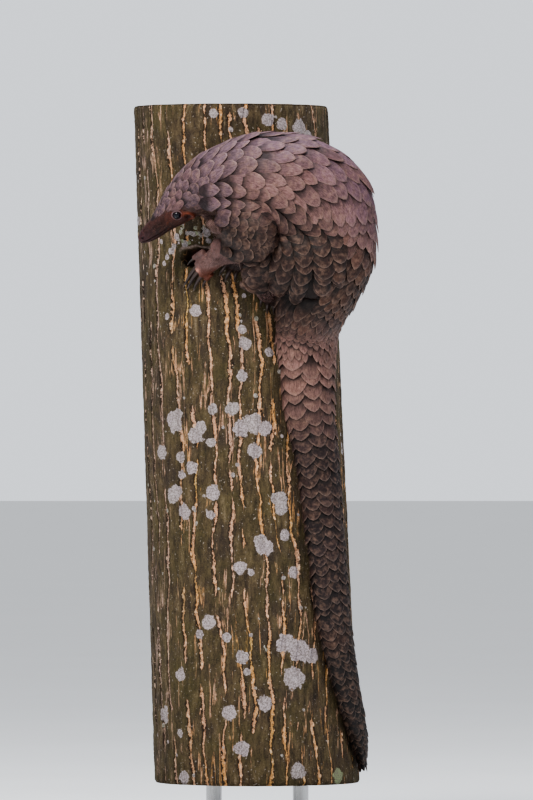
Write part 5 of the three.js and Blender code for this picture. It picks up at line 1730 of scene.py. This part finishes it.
def scattered(tube, count, low, high, near, far, rng, hull=True):
    """Places on the blended surface over a band of a tube."""
    s = rng.uniform(low, high, count)
    share = rng.uniform(0, 1, count)
    keep = (round_share(share) > near) & (round_share(share) < far)
    s, share = s[keep], share[keep]
    p, n = tube.sample(s, share)
    ahead, _ = tube.sample(s + 1.0, share)
    if hull:
        rise = lifted(p, n, HULL)
        keep = rise < 6
        p, n, ahead, rise = p[keep], n[keep], ahead[keep], rise[keep]
        lie = unit(ahead - p) if len(p) else p
        p = p + n * np.clip(rise, -1, 6)[:, None]
        return p, n, lie
    return p, n, unit(ahead - p)


def mottle(first, second, count, rng, power=1.0):
    """Colours at random between two."""
    return lerp(first, second, rng.uniform(0, 1, (count, 1)) ** power)


def fur():
    rng = np.random.default_rng(12)
    coat = Fur("fur_underside", 13)
    p, n, lie = scattered(body, 16000, EYE + 16, ROOT + 6, 0.66, 1.0, rng)
    pale = lerp(BELLY, srgb(128, 98, 86), rng.uniform(0, 1, (len(p), 1)) * 0.6)
    coat.grow(p, n, lie, 6.5, 0.9, pale, 0.25, 0.2, (0.6, 0.68))
    coat.finish()
    coat = Fur("fur_face", 15)
    s, share = rng.uniform(9, EYE + 14, 3600), rng.uniform(0, 1, 3600)
    clear = np.min([np.linalg.norm(body.sample(s, share)[0] - eye_centre(way), axis=1) for way in (1, -1)],
                   0) > 7.5
    bare = clear & (round_share(share) > head_cover(s) - 0.04) & (round_share(share) < 0.97)
    s, share = s[bare], share[bare]
    p, n = body.sample(s, share)
    colour = mottle(srgb(40, 24, 22), srgb(118, 84, 74), len(p), rng, 3)
    coat.grow(p + n * 0.2, n, unit(body.sample(s + 1, share)[0] - p), 2.3, 0.32, colour, 0.22, 0.25,
              (0.6, 0.02))
    coat.finish()
    coat = Fur("fur_limbs", 14)
    arm = limbs["arm_left"]
    for count, begin, near in ((2600, 0.62, 0.3), (2400, 0.86, 0.0)):
        p, n, lie = scattered(arm, count, arm.length * begin, arm.length + 3, near, 1.0, rng)
        colour = mottle(srgb(160, 130, 124), srgb(88, 64, 62), len(p), rng, 0.6)
        coat.grow(p, n, lie, 5.0, 0.5, colour, 0.2, 0.3, (0.72, 0.68))
    edge = Line((201, 213, 1), (207, 217, 1), (212, 224, 1), (215.5, 232, 1), (217, 241, 1), (214, 250, 1))
    x, y, _, tx, ty = edge.at(rng.uniform(0, edge.length, 1500))
    p, n = Sheet(HULL).place(x + rng.normal(1.2, 1.6, 1500), y + rng.normal(0, 1.2, 1500))
    colour = mottle(srgb(158, 128, 122), srgb(70, 50, 46), len(p), rng, 0.7)
    coat.grow(p, n, np.stack([tx - 0.3, 0 * tx, -ty], -1), 5.5, 0.5, colour, 0.12, 0.3, (0.72, 0.68))
    for name in ("arm_right", "shank_left", "thigh_right", "thigh_left"):
        tube = limbs[name]
        p, n, lie = scattered(tube, 2200, 0, tube.length + 2, 0.6, 1.0, rng)
        colour = mottle(srgb(118, 92, 90), srgb(84, 62, 60), len(p), rng)
        coat.grow(p, n, lie, 6.0, 0.8, colour, 0.3, 0.3, (0.72, 0.68))
    coat.finish()
    coat = Fur("fur_feet", 16)
    for name, foot in FEET.items():
        palm = Tube(foot["palm"], outer=foot["outer"], ends=(3, 5))
        p, n, lie = scattered(palm, 2600, -1, palm.length - 2, 0.0, 1.0, rng, False)
        colour = mottle(srgb(172, 142, 136), srgb(84, 60, 58), len(p), rng, 0.7)
        if name == "hand_left":
            low = smooth(-2, 6, -(p[:, 2] - at(0, 266)[2]))[:, None]
            colour = lerp(colour, PALM, low * 0.9)
        coat.grow(p, n, lie, 3.4, 0.45, colour, 0.22, 0.3, (0.84, 0.68))
    coat.finish()


fur()


# The stage: floor, light and camera, none of them part of the object


def area(name, place, target, size, energy, colour):
    light = bpy.data.lights.new(name, "AREA")
    light.shape = "DISK"
    light.size = size
    light.energy = energy
    light.color = colour
    thing = bpy.data.objects.new(name, light)
    bpy.context.scene.collection.objects.link(thing)
    thing.location = place
    thing.rotation_euler = (Vector(target) - Vector(place)).to_track_quat("-Z", "Y").to_euler()


def stage():
    g = Graph("floor")
    soft = g.noise(g.object_place(), 3.0, 2.0)
    g.finish(g.ramp(soft, [(0.3, 0.74), (0.7, 0.78)]), 0.8, Emission_Color=(0.93, 0.96, 1.0, 1),
             Emission_Strength=0.3)
    mesh = bpy.data.meshes.new("floor")
    corner = 30.0
    mesh.from_pydata([(-corner, -corner, 0), (corner, -corner, 0), (corner, corner, 0), (-corner, corner, 0)],
                     [], [(0, 1, 2, 3)])
    mesh.materials.append(g.material)
    floor = bpy.data.objects.new("floor", mesh)
    bpy.context.scene.collection.objects.link(floor)
    world = bpy.data.worlds.new("studio")
    bpy.context.scene.world = world
    world.use_nodes = True
    # the walls of the studio look paler than the light they give
    background = world.node_tree.nodes["Background"]
    background.inputs["Color"].default_value = (0.9, 0.94, 1.0, 1)
    seen = world.node_tree.nodes.new("ShaderNodeLightPath")
    strength = world.node_tree.nodes.new("ShaderNodeMapRange")
    strength.inputs["To Min"].default_value = 0.4
    strength.inputs["To Max"].default_value = 1.0
    world.node_tree.links.new(seen.outputs["Is Camera Ray"], strength.inputs["Value"])
    world.node_tree.links.new(strength.outputs["Result"], background.inputs["Strength"])
    area("key", (-0.9, -2.2, 2.7), (0.02, 0, 0.5), 1.0, 104, (1.0, 0.97, 0.93))
    area("fill", (2.2, -1.4, 1.2), (0.0, 0, 0.45), 1.6, 10, (0.95, 0.97, 1.0))
    area("top", (0.3, 0.1, 2.8), (0.0, 0, 0.5), 1.2, 46, (0.86, 0.92, 1.0))
    bpy.context.scene.view_settings.view_transform = "AgX"
    bpy.context.scene.view_settings.look = "AgX - Medium High Contrast"
    bpy.context.scene.view_settings.exposure = 0.0


def camera():
    lens = bpy.data.cameras.new("camera")
    lens.sensor_fit = "AUTO"
    lens.sensor_width = SENSOR
    lens.lens = SENSOR * (CAMERA_DISTANCE + SHARP_PLANE) / PIXELS[1]
    lens.clip_end = 200.0
    thing = bpy.data.objects.new("camera", lens)
    bpy.context.scene.collection.objects.link(thing)
    centre = at(PIXELS[0] / 2, PIXELS[1] / 2)
    thing.location = (centre[0] * MM, -CAMERA_DISTANCE * MM, centre[2] * MM)
    thing.rotation_euler = (math.pi / 2, 0, 0)
    bpy.context.scene.camera = thing


stage()
camera()
